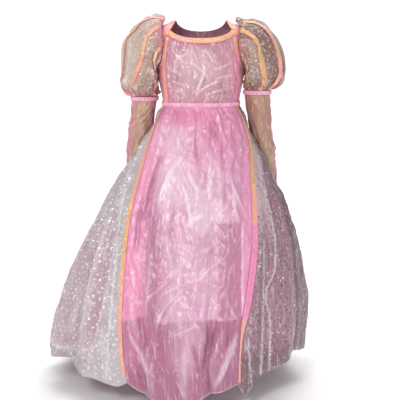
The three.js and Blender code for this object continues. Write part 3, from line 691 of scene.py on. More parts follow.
def shell(
    name, point, us, vs, material, slot, lift=CLOTH_LIFT, thick=CLOTH_THICK, side=1, closed=False, paints=None
):
    """A closed thin shell of cloth over point(u, v). Its map runs in lengths across and down the cloth."""
    u, v = np.meshgrid(us, vs)
    place = point(u, v)
    outward = normals(point, u, v, side)
    rows, columns = u.shape
    loop = np.concatenate([place, place[:, :1]], axis=1) if closed else place
    across = np.linalg.norm(np.diff(loop, axis=1), axis=-1).mean(axis=0)
    down = np.linalg.norm(np.diff(place, axis=0), axis=-1).mean(axis=1)
    s, t = np.concatenate([[0], np.cumsum(across)]), np.concatenate([[0], np.cumsum(down)])
    outer, inner = place + outward * (lift + thick / 2), place + outward * (lift - thick / 2)

    spans = columns if closed else columns - 1
    j, i = np.meshgrid(np.arange(rows - 1), np.arange(spans), indexing="ij")
    corners = [(j, i), (j, i + 1), (j + 1, i + 1), (j + 1, i)]
    quads = np.stack([cj * columns + ci % columns for cj, ci in corners], -1).reshape(-1, 4)
    maps = np.stack([np.stack([s[ci], t[cj]], -1) for cj, ci in corners], 2).reshape(-1, 4, 2)
    size = rows * columns
    first, last = np.arange(spans), size - columns
    second = (first + 1) % columns
    edges = [(second, first), (last + first, last + second)]
    if not closed:
        first = np.arange(rows - 1) * columns
        second = first + columns
        edges += [(first, second), (second + columns - 1, first + columns - 1)]
    rims = np.concatenate([np.stack([a, b, b + size, a + size], -1) for a, b in edges])
    faces = np.concatenate([quads, quads[:, ::-1] + size, rims[:, ::-1]])
    uvs = np.concatenate([maps, maps[:, ::-1], np.zeros((len(rims), 4, 2))])
    a, b, c = (outer.reshape(-1, 3)[quads[:, k]] for k in range(3))
    if (np.cross(b - a, c - a) * outward.reshape(-1, 3)[quads[:, 0]]).sum() < 0:
        faces, uvs = faces[:, ::-1], uvs[:, ::-1]

    places = np.concatenate([outer.reshape(-1, 3), inner.reshape(-1, 3)])
    piece = new_object(name, (places * MM).tolist(), faces.tolist())
    mesh = piece.data
    mesh.uv_layers.new(name="cloth").data.foreach_set("uv", (uvs * MM).ravel())
    for label, paint in (paints or {}).items():
        values = np.tile(paint(u, v, place).ravel(), 2)
        mesh.attributes.new(label, "FLOAT", "POINT").data.foreach_set("value", values)
    mesh.shade_smooth()
    mesh.set_sharp_from_angle(angle=math.radians(SHARP_DEGREES))
    mesh.materials.append(material)
    mesh.validate()
    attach(piece, "root")
    return piece


def rolled_hem(name, path, closed=False):
    """A thin thread edge along a path."""
    path = np.asarray(path, float)
    ahead = np.roll(path, -1, 0) - np.roll(path, 1, 0)
    if not closed:
        ahead[0], ahead[-1] = path[1] - path[0], path[-1] - path[-2]
    ahead /= np.linalg.norm(ahead, axis=1, keepdims=True)
    guide = np.where(np.abs(ahead[:, 2:]) > 0.9, [[1.0, 0, 0]], [[0, 0, 1.0]])
    one = np.cross(ahead, guide)
    one /= np.linalg.norm(one, axis=1, keepdims=True)
    two = np.cross(ahead, one)
    turns = full_turn(CORD_SIDES)
    ring = np.cos(turns)[None, :, None] * one[:, None] + np.sin(turns)[None, :, None] * two[:, None]
    places = (path[:, None] + ring * HEM_RADIUS).reshape(-1, 3)
    count = len(path)
    j, i = np.meshgrid(np.arange(count if closed else count - 1), np.arange(CORD_SIDES), indexing="ij")
    here, after, beside = j * CORD_SIDES, (j + 1) % count * CORD_SIDES, (i + 1) % CORD_SIDES
    faces = np.stack([here + i, here + beside, after + beside, after + i], -1).reshape(-1, 4).tolist()
    if not closed:
        faces.append(list(range(CORD_SIDES))[::-1])
        faces.append(list(range((count - 1) * CORD_SIDES, count * CORD_SIDES)))
    piece = new_object(name, (places * MM).tolist(), faces)
    piece.data.shade_smooth()
    piece.data.materials.append(HEM_THREAD)
    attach(piece, "root")
    return piece


# Materials
def add_node(tree, kind, inputs=None, **settings):
    made = tree.nodes.new(kind)
    for key, value in settings.items():
        setattr(made, key, value)
    for key, value in (inputs or {}).items():
        if isinstance(value, bpy.types.NodeSocket):
            tree.links.new(value, made.inputs[key])
        else:
            made.inputs[key].default_value = value
    return made


def srgb(code):
    values = [int(code[k : k + 2], 16) / 255 for k in (1, 3, 5)]
    return [v / 12.92 if v <= 0.04045 else ((v + 0.055) / 1.055) ** 2.4 for v in values] + [1.0]


def new_material(name):
    made = bpy.data.materials.new(name)
    made.use_nodes = True
    made.node_tree.nodes.clear()
    return made, made.node_tree


def spaced(named):
    """Inputs under their real names, which have spaces in place of the underscores."""
    return {name.replace("_", " "): value for name, value in named.items()}


def finish_material(tree, **sockets):
    shader = add_node(tree, "ShaderNodeBsdfPrincipled", spaced(sockets)).outputs[0]
    add_node(tree, "ShaderNodeOutputMaterial", {"Surface": shader})


def painted(tree, label):
    return add_node(tree, "ShaderNodeAttribute", attribute_name=label).outputs["Fac"]


def mixed(tree, share, one, two):
    """A colour between two, each given as a code or taken from another node."""
    one, two = (srgb(colour) if isinstance(colour, str) else colour for colour in (one, two))
    return add_node(tree, "ShaderNodeMix", {0: share, 6: one, 7: two}, data_type="RGBA").outputs[2]


def spread(tree, value, **limits):
    return add_node(tree, "ShaderNodeMapRange", {"Value": value, **spaced(limits)}).outputs[0]


def noise(tree, vector, **inputs):
    return add_node(tree, "ShaderNodeTexNoise", {"Vector": vector, **inputs}).outputs


def mapped(tree, vector, **inputs):
    return add_node(tree, "ShaderNodeMapping", {"Vector": vector, **inputs}).outputs[0]


def maths(tree, operation, *values):
    return add_node(tree, "ShaderNodeMath", dict(enumerate(values)), operation=operation).outputs[0]


def cloth_material(
    name, pale, deep, shade, light, blush, rough, crinkle, alpha=1.0, crease_line_light=0.5, glitter=0.0, streak=(9, 70)
):
    """Woven polyester: a base between two tints, blush, painted shade and painted highlights, and creases
    that stand up in the bump, with painted highlight lines along them.

    crinkle is the size in mm of the finest creases. The threads and the glitter specks are drawn about five
    times their real size, because the real ones are too fine to show. The specks are glitter painted white as
    painted glints.
    """
    made, tree = new_material(name)
    place = add_node(tree, "ShaderNodeTexCoord").outputs
    stretched = mapped(tree, place["UV"], Scale=(1000 / streak[0], 1000 / streak[1], 1))
    streaks = noise(tree, stretched, Scale=1.0, Detail=4.0, Roughness=0.6)["Fac"]
    patches = noise(tree, place["Object"], Scale=30.0, Detail=4.0)["Fac"]
    colour = mixed(tree, spread(tree, patches, From_Min=0.35, From_Max=0.65), pale, deep)
    # Blush, then painted shade in the shade tint and painted highlights in the light tint, each laid on by
    # its own attribute
    for label, code in (("blush", blush), ("painted_shade", shade), ("painted_light", light)):
        colour = mixed(tree, painted(tree, label), colour, code)

    # Sharp little creases: facets that stand up in the bump, and painted highlight lines in two directions
    warp = noise(tree, place["Object"], Scale=500 / crinkle, Detail=3.0)["Color"]
    between = {0: 0.00085 * crinkle, 4: place["Object"], 5: warp}
    bent = add_node(tree, "ShaderNodeMix", between, data_type="VECTOR").outputs[1]
    cells = {"Vector": bent, "Scale": 1000 / crinkle / 1.3}
    facets = add_node(tree, "ShaderNodeTexVoronoi", cells, feature="DISTANCE_TO_EDGE").outputs["Distance"]
    lines = []
    for lean in (0.25, -0.5):
        fine = (1000 / crinkle / 1.3, 1000 / crinkle / 6, 1)
        slanted = mapped(tree, place["UV"], Rotation=(0, 0, lean), Scale=fine)
        highlight_line_noise = noise(tree, slanted, Scale=1.0, Detail=3.0, Distortion=0.3)["Fac"]
        away = maths(tree, "ABSOLUTE", maths(tree, "ADD", highlight_line_noise, -0.5))
        lines.append(spread(tree, away, From_Max=0.018, To_Min=crease_line_light, To_Max=0.0))
    some = spread(tree, streaks, From_Min=0.42, From_Max=0.6)
    colour = mixed(tree, maths(tree, "MULTIPLY", maths(tree, "MAXIMUM", *lines), some), colour, light)

    # Glitter specks painted white as painted glints, and a fine grain in the colour
    grains = add_node(tree, "ShaderNodeTexVoronoi", {"Vector": place["Object"], "Scale": 420.0}).outputs
    specks = spread(tree, grains["Color"], From_Min=0.86, From_Max=0.92, To_Max=glitter)
    colour = mixed(tree, specks, colour, "#FFFFFF")
    grain = spread(tree, grains["Distance"], To_Min=1.05, To_Max=0.9)
    streaky = spread(tree, streaks, To_Min=0.8, To_Max=1.18)
    both = {0: colour, "Scale": maths(tree, "MULTIPLY", grain, streaky)}
    creases_up = {"Height": facets, "Strength": 0.5, "Distance": 0.45 * crinkle * MM}
    streaks_up = {"Height": streaks, "Strength": 0.5, "Distance": 0.004}
    streaks_up["Normal"] = add_node(tree, "ShaderNodeBump", creases_up).outputs[0]
    finish_material(
        tree,
        Base_Color=add_node(tree, "ShaderNodeVectorMath", both, operation="SCALE").outputs[0],
        Roughness=rough,
        Alpha=alpha,
        Sheen_Weight=0.2,
        Sheen_Roughness=0.35,
        Specular_IOR_Level=0.7,
        Normal=add_node(tree, "ShaderNodeBump", streaks_up).outputs[0],
    )
    return made


# Crinkled polyester organza over a pale petticoat: pink at the waist, lilac lower down, with a wet sheen
FRONT_ORGANZA = cloth_material(
    "crinkled shiny organza", "#D79FBA", "#CA8DAB", "#AA6886", "#F3E2EE", "#E78FB5", 0.3, 22, streak=(7, 90)
)
# The same organza backed with satin: its many small sharp creases catch the light
BODICE_SATIN = cloth_material(
    "crinkled bodice satin", "#C68E9B", "#B5798A", "#905768", "#F3E6EA", "#D480A0", 0.32, 12,
    crease_line_light=0.95, glitter=0.25, streak=(9, 22),
)
# Polyester satin without the crinkles, in a deeper rose that is hot pink on the straps
SIDE_SATIN = cloth_material(
    "deep rose satin", "#DB96A0", "#CB828E", "#A25F6C", "#F0A9BE", "#E98FB5", 0.4, 20, crease_line_light=0.3
)
# Sheer polyester organza, silvery where light comes through and dusty pink in shade
GLITTER_ORGANZA = cloth_material(
    "sheer glitter organza", "#CFC5C7", "#BCB0B6", "#8C6A76", "#F6F4F5", "#CB8FA6", 0.36, 26,
    alpha=0.74, crease_line_light=0.45, glitter=0.8, streak=(7, 120),
)
PUFF_ORGANZA = cloth_material(
    "sheer puff organza", "#D0B5A6", "#BC9C8C", "#8D665C", "#F6F1EE", "#D9909F", 0.34, 15,
    alpha=0.8, crease_line_light=0.75, glitter=0.6, streak=(7, 40),
)
SLEEVE_ORGANZA = cloth_material(
    "sheer sleeve organza", "#D6AD8C", "#C59974", "#AA7E66", "#F3E0DA", "#DB85A2", 0.36, 12,
    alpha=0.8, crease_line_light=0.75, glitter=0.2, streak=(6, 40),
)
# Smooth polyester lining, and the stiff net under it
LINING_SATIN = cloth_material(
    "smooth lining satin", "#CF94B0", "#BF829F", "#9C6680", "#E2B4CB", "#CF94B0", 0.45, 34, crease_line_light=0.1
)
PETTICOAT_NET = cloth_material(
    "stiff petticoat net", "#E3C4D1", "#D9B4C4", "#C08FA4", "#F2E0E8", "#E3C4D1", 0.6, 20, crease_line_light=0.2
)
# Elastic gathered under a narrow tape, and rolled thread hems
ELASTIC = cloth_material(
    "gathered pink elastic", "#EFA0C3", "#E288B1", "#BF5F8B", "#F8CCE0", "#EA8FB9", 0.45, 7, streak=(3, 20)
)
HEM_THREAD = cloth_material(
    "rolled hem thread", "#DDCBD0", "#CDB7BF", "#A98C97", "#F7F2F4", "#DDCBD0", 0.45, 12, crease_line_light=0.2
)


def sequin_material():
    """Iridescent plastic film: peach, gold or hot pink by the tone, each disc a little different."""
    made, tree = new_material("iridescent sequin film")
    hue = add_node(tree, "ShaderNodeValToRGB", {"Fac": painted(tree, "tone")})
    stops = ((0.0, "#F090C0"), (0.25, "#F5A6C8"), (0.45, "#F4B08C"), (0.65, "#F7BE82"), (1.0, "#D2B25C"))
    ramp = hue.color_ramp.elements
    while len(ramp) < len(stops):
        ramp.new(0.5)
    for element, (place, code) in zip(ramp, stops):
        element.position, element.color = place, srgb(code)
    coat = {"Coat_Weight": 0.6, "Coat_Roughness": 0.12}
    finish_material(tree, Base_Color=hue.outputs["Color"], Metallic=0.25, Roughness=0.24, **coat)
    return made


def foil_material():
    """Hot-stamped foil dots: bright silver in the light, dusky where the cloth hangs in shade."""
    made, tree = new_material("stamped silver foil")
    colour = mixed(tree, painted(tree, "tone"), "#3C222C", "#FFFFFF")
    finish_material(tree, Base_Color=colour, Metallic=0.2, Roughness=0.3)
    return made


def tape_material():
    """Tape under the sequins, peach, gold or pink like them, with edges of clear film."""
    made, tree = new_material("woven ribbon tape")
    hue = mixed(tree, painted(tree, "tone"), "#F08ABC", "#F2C088")
    place = add_node(tree, "ShaderNodeTexCoord").outputs["UV"]
    speckle = noise(tree, place, Scale=700.0)["Fac"]
    lifted = add_node(tree, "ShaderNodeBump", {"Height": speckle, "Distance": 0.0006}).outputs[0]
    finish_material(tree, Base_Color=hue, Roughness=0.35, Normal=lifted)
    return made


SEQUIN_FILM = sequin_material()
STAMPED_FOIL = foil_material()
RIBBON_TAPE = tape_material()


def small_disc(name, sides, hole, rise):
    """A little cupped disc one unit across, or a ring if it has a hole."""
    turns = full_turn(sides)
    after = [(i + 1) % sides for i in range(sides)]
    rim = np.stack([np.cos(turns) * 0.5, np.sin(turns) * 0.5, np.zeros(sides)], -1)
    if hole:
        inside = np.stack([np.cos(turns) * hole, np.sin(turns) * hole, np.full(sides, rise)], -1)
        places = np.concatenate([rim, inside])
        faces = [(i, after[i], sides + after[i], sides + i) for i in range(sides)]
    else:
        places = np.concatenate([rim, [[0, 0, rise]]])
        faces = [(i, after[i], sides) for i in range(sides)]
    return new_object(name, places.tolist(), faces)


def scatter(name, spots, shape, tilt, seed, material):
    """Copies of one small shape on points of the cloth, lying on it but for a small random tilt."""
    places, outward, tones, sizes = (np.concatenate(values) for values in zip(*spots))
    piece = new_object(name, (places * MM).tolist())
    bare = piece.data
    bare.attributes.new("outward", "FLOAT_VECTOR", "POINT").data.foreach_set("vector", outward.ravel())
    for label, values in (("tone", tones), ("size", sizes)):
        bare.attributes.new(label, "FLOAT", "POINT").data.foreach_set("value", values)

    tree = bpy.data.node_groups.new(name, "GeometryNodeTree")
    inputs = {}
    for label, kind in (("Geometry", "Geometry"), ("Unit", "Float"), ("Tilt", "Float"), ("Seed", "Int")):
        inputs[label] = tree.interface.new_socket(label, in_out="INPUT", socket_type="NodeSocket" + kind)
    tree.interface.new_socket("Geometry", in_out="OUTPUT", socket_type="NodeSocketGeometry")
    given = add_node(tree, "NodeGroupInput").outputs
    disc = add_node(tree, "GeometryNodeObjectInfo", {"Object": shape}).outputs["Geometry"]
    named = "GeometryNodeInputNamedAttribute"
    way = add_node(tree, named, {"Name": "outward"}, data_type="FLOAT_VECTOR").outputs[0]
    own = add_node(tree, named, {"Name": "size"}, data_type="FLOAT").outputs[0]
    lying = add_node(tree, "FunctionNodeAlignRotationToVector", {"Vector": way}, axis="Z").outputs[0]
    low, high = maths(tree, "MULTIPLY", given["Tilt"], -1.0), given["Tilt"]
    least = add_node(tree, "ShaderNodeCombineXYZ", {0: low, 1: low, 2: -3.14}).outputs[0]
    most = add_node(tree, "ShaderNodeCombineXYZ", {0: high, 1: high, 2: 3.14}).outputs[0]
    limits = {"Min": least, "Max": most, "Seed": given["Seed"]}
    lean = add_node(tree, "FunctionNodeRandomValue", limits, data_type="FLOAT_VECTOR").outputs[0]
    turn = add_node(tree, "FunctionNodeEulerToRotation", {0: lean}).outputs[0]
    turned = {"Rotation": lying, "Rotate By": turn}
    leaning = add_node(tree, "FunctionNodeRotateRotation", turned, rotation_space="LOCAL").outputs[0]
    laid = {
        "Points": given["Geometry"],
        "Instance": disc,
        "Rotation": leaning,
        "Scale": maths(tree, "MULTIPLY", own, given["Unit"]),
    }
    placed = add_node(tree, "GeometryNodeInstanceOnPoints", laid).outputs[0]
    real = add_node(tree, "GeometryNodeRealizeInstances", {"Geometry": placed}).outputs[0]
    coloured = add_node(tree, "GeometryNodeSetMaterial", {"Geometry": real, "Material": material})
    add_node(tree, "NodeGroupOutput", {0: coloured.outputs[0]})

    modifier = piece.modifiers.new("scatter", "NODES")
    modifier.node_group = tree
    for label, value in (("Unit", MM), ("Tilt", tilt), ("Seed", seed)):
        modifier[inputs[label].identifier] = value
    shown = piece.evaluated_get(bpy.context.evaluated_depsgraph_get())
    plain = bpy.data.meshes.new_from_object(shown)
    piece.modifiers.remove(modifier)
    piece.data = plain
    piece.data.name = name
    bpy.data.meshes.remove(bare)
    bpy.data.node_groups.remove(tree)
    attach(piece, "root")


def drop(obj):
    mesh = obj.data
    bpy.data.objects.remove(obj)
    bpy.data.meshes.remove(mesh)



# Ribbons: a strip of base cloth, and rows of sequins to be scattered over it
SEQUIN_PITCH = 2.7
SEQUIN_STEP = 0.87  # pitch of the rows along a ribbon, as a share of the pitch across
SEQUIN_SIZES = (2.4, 3.2)
sequin_spots = []
ribbon_rng = np.random.default_rng(4)


def ribbon(node, point, length_from, length_to, width, side, tone, lift=RIBBON_LIFT, rows=90):
    """A strip over point(u, v) with u from -1 to 1 across and v along, and its sequin places."""
    vs = np.linspace(length_from, length_to, rows)
    paints = {"tone": lambda u, v, place: tone(place) * (1 - 0.7 * ease((np.abs(u) - 0.5) / 0.5))}
    piece = shell(
        node + "_strip", point, np.linspace(-1, 1, 5), vs, RIBBON_TAPE, "sequin_ribbon",
        lift=lift, thick=STRIP_THICK, side=side, paints=paints,
    )
    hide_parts(node)
    line = point(np.zeros(rows), vs)
    run = np.concatenate([[0], np.cumsum(np.linalg.norm(np.diff(line, axis=0), axis=1))])
    count = int(run[-1] / (SEQUIN_PITCH * SEQUIN_STEP))
    across, along = [], []
    for k in range(count):
        v = np.interp((k + 0.5) * run[-1] / count, run, vs)
        wide = float(width(v)) if callable(width) else width
        number = max(1, int(wide / SEQUIN_PITCH) - k % 2)
        across.append((np.arange(number) - (number - 1) / 2) * SEQUIN_PITCH / (wide / 2))
        along.append(np.full(number, v))
    u, v = np.concatenate(across), np.concatenate(along)
    place, outward = point(u, v), normals(point, u, v, side)
    tones = clamp(tone(place) + ribbon_rng.normal(0, 0.12, len(u)))
    sizes = ribbon_rng.uniform(*SEQUIN_SIZES, len(u))
    sequin_spots.append((place + outward * (lift + STRIP_THICK), outward, tones, sizes))


def even_tone(value, patches, seed=3):
    def tone(place):
        wander = lumps(place[..., 0] / 40 + 7, place[..., 2] / 40, seed) - 0.5
        return clamp(value + patches * wander)

    return tone


def banded_tone(stops):
    """Tone by height, from the (z, tone) pairs given from the top down."""
    heights = [-z for z, _ in stops]
    return lambda place: np.interp(-place[..., 2], heights, [tone for _, tone in stops])


def ridges(relief, u, v, place, low, high):
    """How far the relief has come from its low to its high value, to paint highlights on ridges or shade in
    troughs.
    """
    return clamp((relief(u, v, place) - low) / (high - low))


# Painted highlights on the bodice: a pale patch in the middle, and on the ridges of the listed creases and of
# the crinkles
def bodice_painted_light(u, v, place):
    x, z = place[..., 0], place[..., 2]
    middle = bump((x + 15) / 58) * bump((z + 118) / 45)
    listed_crease_highlight = clamp(creased(x, z, BODICE_CREASES) / 2.2) ** 2.5
    folds = ridges(bodice_front_relief, u, v, place, 0.7, 3.2)
    return np.clip(0.24 * middle + 0.3 * listed_crease_highlight + (0.14 + 0.24 * middle) * folds, 0, 0.9)


# Painted shade on the bodice: darker just under the neckline, and in the troughs of the listed creases and of
# the crinkles
def bodice_painted_shade(u, v, place):
    troughs = clamp(-creased(place[..., 0], place[..., 2], BODICE_CREASES) / 1.6)
    folds = ridges(bodice_front_relief, u, v, place, -0.2, -1.3)
    return 0.2 * ease((v - 0.86) / 0.14) + 0.6 * troughs + 0.4 * folds


def bodice_blush(u, v, place):
    edges = ease((np.abs(u + 0.06) - 0.62) / 0.38)
    return 0.9 * edges * lumps(place[..., 0] / 12, place[..., 2] / 16, 51)


# Bodice front
piece = shell(
    "bodice_front_cloth", bodice_front_point, np.linspace(-1, 1, 110), np.linspace(0, 1, 110),
    BODICE_SATIN, "bodice_satin", side=-1,
    paints={"painted_light": bodice_painted_light, "painted_shade": bodice_painted_shade, "blush": bodice_blush},
)
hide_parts("bodice_front")


def neck_ribbon_front_point(u, v):
    across = (v + 1) / 2
    drop = 1 - (1 - (u + 1) / 2) * NECK["ribbon"] / (neckline(mix(-1, 1, across)) - WAIST)
    return bodice_front_flat(mix(-1, 1, across), drop)


tone = even_tone(0.6, 0.5)
ribbon("neck_ribbon_front", neck_ribbon_front_point, -1, 1, NECK["ribbon"], 1, tone, rows=60)


def panel_relief(width, count, top, from_edge, to_side, seeds):
    """Small creases of a bodice panel about width mm wide, fading out towards its seams."""
    creases = folds_of_length(np.random.default_rng(seeds[0]), count, width / 2, -190, top - 10, 1.6)

    def relief(u, z, place):
        window = ease(u * from_edge[0] - from_edge[1]) * ease((1 - u) * to_side)
        window = window * ease((z + 200) / 8) * ease((top - z) / 20)
        crinkles = 1.4 * crumple(u * width, z, 16, 26, seeds[1])
        return window * (creased(u * width - width / 2, z, creases) + crinkles - 0.6)

    return relief


for word, side in SIDES.items():
    # Side panels run from the princess seam to the armhole and up into the strap
    flat = bodice_panel(side, -1, side_edge, ARMHOLE["front"])
    relief = panel_relief(40, 10, -60, (40 / 12, 0.4), 5, (90 + side, 95))
    piece = shell(
        f"bodice_side_{word}_cloth", raised(flat, relief, -side),
        np.linspace(0, 1, 30), np.linspace(WAIST, SHOULDER_Z, 90), SIDE_SATIN, "side_satin",
        side=-side, paints={"blush": lambda u, v, place: 0.9 * ease((v + 62) / 25)},
    )
    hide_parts(f"bodice_side_{word}")

    flat = bodice_panel(side, 1, back_neck_x, ARMHOLE["back"])
    relief = panel_relief(90, 14, -50, (8, 0.8), 7, (96 + side, 97))
    piece = shell(
        f"bodice_back_{word}_cloth", raised(flat, relief, side),
        np.linspace(0, 1, 60), np.linspace(WAIST, SHOULDER_Z, 100), BODICE_SATIN, "bodice_satin",
        side=side,
    )
    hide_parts(f"bodice_back_{word}")

    def neck_side_point(u, v, side=side):
        start = bodice_angle(side_edge(v) + 0.3, v)
        end = bodice_angle(side_edge(v) + NECK["ribbon"], v)
        return bodice_point(side * mix(start, end, (u + 1) / 2), v, -1)

    tone = even_tone(0.62 if side < 0 else 0.8, 0.4)
    bottom = NECK["corner_z"] - NECK["ribbon"]
    ribbon(f"neck_ribbon_{word}", neck_side_point, bottom, SHOULDER_Z, 11, -side, tone, rows=24)

    def princess_point(u, v, side=side):
        half = 4 if side < 0 else mix(4, 1.6, ease((-70 - v) / 40))
        return bodice_point(side * bodice_angle(at(PRINCESS, "z", v)["x"] + u * half, v), v, -1)

    width, tone = 8, even_tone(0.62, 0.15)
    if side > 0:
        width = lambda v: mix(8, 3.2, float(ease((-70 - v) / 40)))
        tone = banded_tone([(-42, 0.95), (-72, 0.8), (-84, 0.1), (-200, 0.05)])
    ribbon(f"princess_ribbon_{word}", princess_point, -199.9, -42.5, width, -side, tone)


def back_ribbon_point(u, v):
    across = np.sin(v)
    drop = np.maximum(0, 1 - np.abs(across) ** 2.2) ** (1 / 2.2)
    x = across * mix(NECK["shoulder_x"], NECK["shoulder_x"] + NECK["ribbon"], (u + 1) / 2)
    lowest = NECK["back_z"] + 1 - NECK["ribbon"] / 2
    z = mix(drop * NECK["back_z"] - 0.6, -5.2 + drop * lowest, (u + 1) / 2)
    angle = math.pi - np.arcsin(np.clip(x / at(BODICE, "z", z)["side"], -1, 1))
    return bodice_point(angle, z, 1)


reach = math.radians(82)
ribbon("neck_ribbon_back", back_ribbon_point, -reach, reach, 11, 1, even_tone(0.65, 0.3), rows=60)

piece = shell(
    "back_placket_cloth",
    lambda u, z: bodice_point(math.pi - np.arcsin(u / at(BODICE, "z", z)["side"]), z, 1),
    np.linspace(-9, 9, 12), np.linspace(-200, -42, 60), BODICE_SATIN, "bodice_satin",
    lift=CLOTH + LAID + 0.4,
)
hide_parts("back_placket")


# Bands, gathered into small pleats
def waist_band_point(angle, z):
    row = at(BODICE, "z", np.maximum(WAIST, z))
    x, y = oval(angle, row["side"], row["side"], row["front"], row["back"], BODICE_SQUARE)
    return points(x, y, z)


def waist_band_relief(angle, z, place):
    across = (z + 204.5) / 4
    return 1.2 * (1 - across**2) + 1.0 * np.cos(110 * angle + 3 * np.sin(13 * angle) + across)


# Painted highlights on the ridges of the gathers, over a paler base all round
def waist_band_painted_light(angle, z, place):
    folds = ridges(waist_band_relief, angle, z, place, 0.8, 2)
    return 0.22 + 0.6 * lumps(place[..., 0] / 9, place[..., 1] / 9, 41) * folds


piece = shell(
    "waist_band_cloth", raised(waist_band_point, waist_band_relief, -1),
    full_turn(440, math.pi), np.linspace(-208.5, -200.5, 9), ELASTIC, "elastic",
    lift=CLOTH + 2 * LAID + 0.4, side=-1, closed=True,
    # Painted highlights on the ridges and painted shade in the troughs of the gathers
    paints={
        "painted_light": waist_band_painted_light,
        "painted_shade": lambda u, v, place: 0.7 * ridges(waist_band_relief, u, v, place, 0.8, -0.6),
    },
)
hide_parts("waist_band")


def puff_surface(side):
    return raised(lambda turn, t: puff_flat(side, turn, t), puff_relief(side), -side)


def puff_paints(side):
    """The right puff lies in shade and has painted shade deepening towards its outside; the left one has a
    painted sheen there. Both have painted shade on their inner side and by the band.
    """
    shade, outside, shine = (0, 0, 0.4) if side < 0 else (0.12, 1.1, 0.04)

    # Painted shade on the inner side, on the right puff's outside and by the band
    def painted_shade(turn, t, place):
        inner_shade = ease((-np.cos(turn) + 0.6) / 1.1)
        return clamp(
            shade + 0.4 * inner_shade + outside * ease((np.cos(turn) - 0.05) / 0.6) + 0.25 * bump((t - 1) / 0.12)
        )

    # Painted sheen on the left puff's outside, and painted highlights on the ridges
    def painted_light(turn, t, place):
        patch = lumps(place[..., 1] / 18, place[..., 2] / 24, 43)
        folds = ridges(puff_relief(side), turn, t, place, 1.5, 5)
        return np.clip(shine * ease((np.cos(turn) - 0.2) / 0.8) * patch + 0.4 * folds, 0, 0.9)

    def blush(turn, t, place):
        return 0.8 * bump((t - 0.12) / 0.12) + 0.6 * bump((t - 0.97) / 0.08)

    return {"painted_shade": painted_shade, "painted_light": painted_light, "blush": blush}


def sleeve_paints(side):
    def blush(turn, z, place):
        edges = 0.95 * ease((np.abs(np.cos(turn)) - 0.55) / 0.3)
        return clamp(edges + 0.5 * lumps(place[..., 1] / 14, z / 20, 54) ** 2)

    # Painted shade: the right sleeve is painted darker, less so towards the cuff
    def painted_shade(turn, z, place):
        return 0.62 - 0.4 * ease((-320 - z) / 60) if side > 0 else 0.12 + 0 * z

    # Painted highlights along the middle of the front and back, and on the ridges of the creases
    def painted_light(turn, z, place):
        middle = 0.25 * bump(np.cos(turn) / 0.3) * lumps(place[..., 0] / 9, z / 30, 44)
        return np.clip(middle + 0.35 * ridges(arm_relief(side), turn, z, place, 0.8, 3.5), 0, 0.9)

    return {"blush": blush, "painted_shade": painted_shade, "painted_light": painted_light}


for word, side in SIDES.items():
    puff = puff_surface(side)
    piece = shell(
        f"puff_{word}_cloth", puff, full_turn(140, math.pi), np.linspace(0, 1, 64),
        PUFF_ORGANZA, "glitter_organza", lift=-0.7, side=-side, closed=True, paints=puff_paints(side),
    )
    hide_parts(f"puff_{word}")
    flat = (0.36, 0.2) if side < 0 else (0.35, 0.19)
    for label in ("front_inner", "front", "outer", "rear", "rear_inner"):

        def puff_ribbon_point(u, v, puff=puff, rows=PUFF_RIBBONS[word], label=label):
            turn = np.radians(at(rows, "t", v)[label])
            return puff(turn + u * PUFF_RIBBON_WIDTH / 2 / stretch_of(puff, turn, v), v)

        tone = even_tone(0.66 if side < 0 else 0.72, 0.7, seed=len(label))
        ribbon(
            f"puff_ribbon_{label}_{word}", puff_ribbon_point, 0.11, 0.97, PUFF_RIBBON_WIDTH, -side, tone,
            lift=2 * LAID + 0.3, rows=70,
        )

    arm = raised(lambda turn, z, side=side: arm_flat(side, turn, z), arm_relief(side), side)
    top = -188.3 + PUFF_SIDES[side]["raise"]
    piece = shell(
        f"long_sleeve_{word}_cloth", arm, full_turn(72, math.pi), np.linspace(top, CUFF_Z, 110),
        SLEEVE_ORGANZA, "sleeve_organza", side=side, closed=True, paints=sleeve_paints(side),
    )
    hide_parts(f"long_sleeve_{word}")
    turns, edge = full_turn(60), np.full(60, CUFF_Z + 0.5)
    path = arm(turns, edge) + normals(arm, turns, edge, side)
    hem = rolled_hem(f"cuff_hem_{word}", path, closed=True)
    flat, area = ((0.2, 0.25), 0.046) if side < 0 else ((0.2, 0.265), 0.049)

    def band_relief(turn, z, place, top=top):
        across = (z - top + 4.5) / 4.5
        pleats = np.cos(38 * turn + 3 * np.sin(5 * turn) + across)
        pleats = pleats * (0.5 + 0.9 * lumps(2 * turn, across, 62))
        return 0.5 * (1 - across**2) + 1.5 * pleats + 0.8 * lumps(4 * turn, 2 * across, 63)

    piece = shell(
        f"sleeve_band_{word}_cloth",
        raised(lambda turn, z, side=side: arm_flat(side, turn, z), band_relief, side),
        full_turn(220), np.linspace(top, top - 9, 11), ELASTIC, "elastic",
        lift=CLOTH + LAID + 0.4, side=side, closed=True,
        # Painted highlights on the ridges and painted shade in the troughs of the pleats
        paints={
            "painted_light": lambda u, v, place: 0.1 + 0.5 * ridges(band_relief, u, v, place, 0.9, 2.2),
            "painted_shade": lambda u, v, place: 0.7 * ridges(band_relief, u, v, place, 0.8, -0.6),
        },
    )
    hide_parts(f"sleeve_band_{word}")


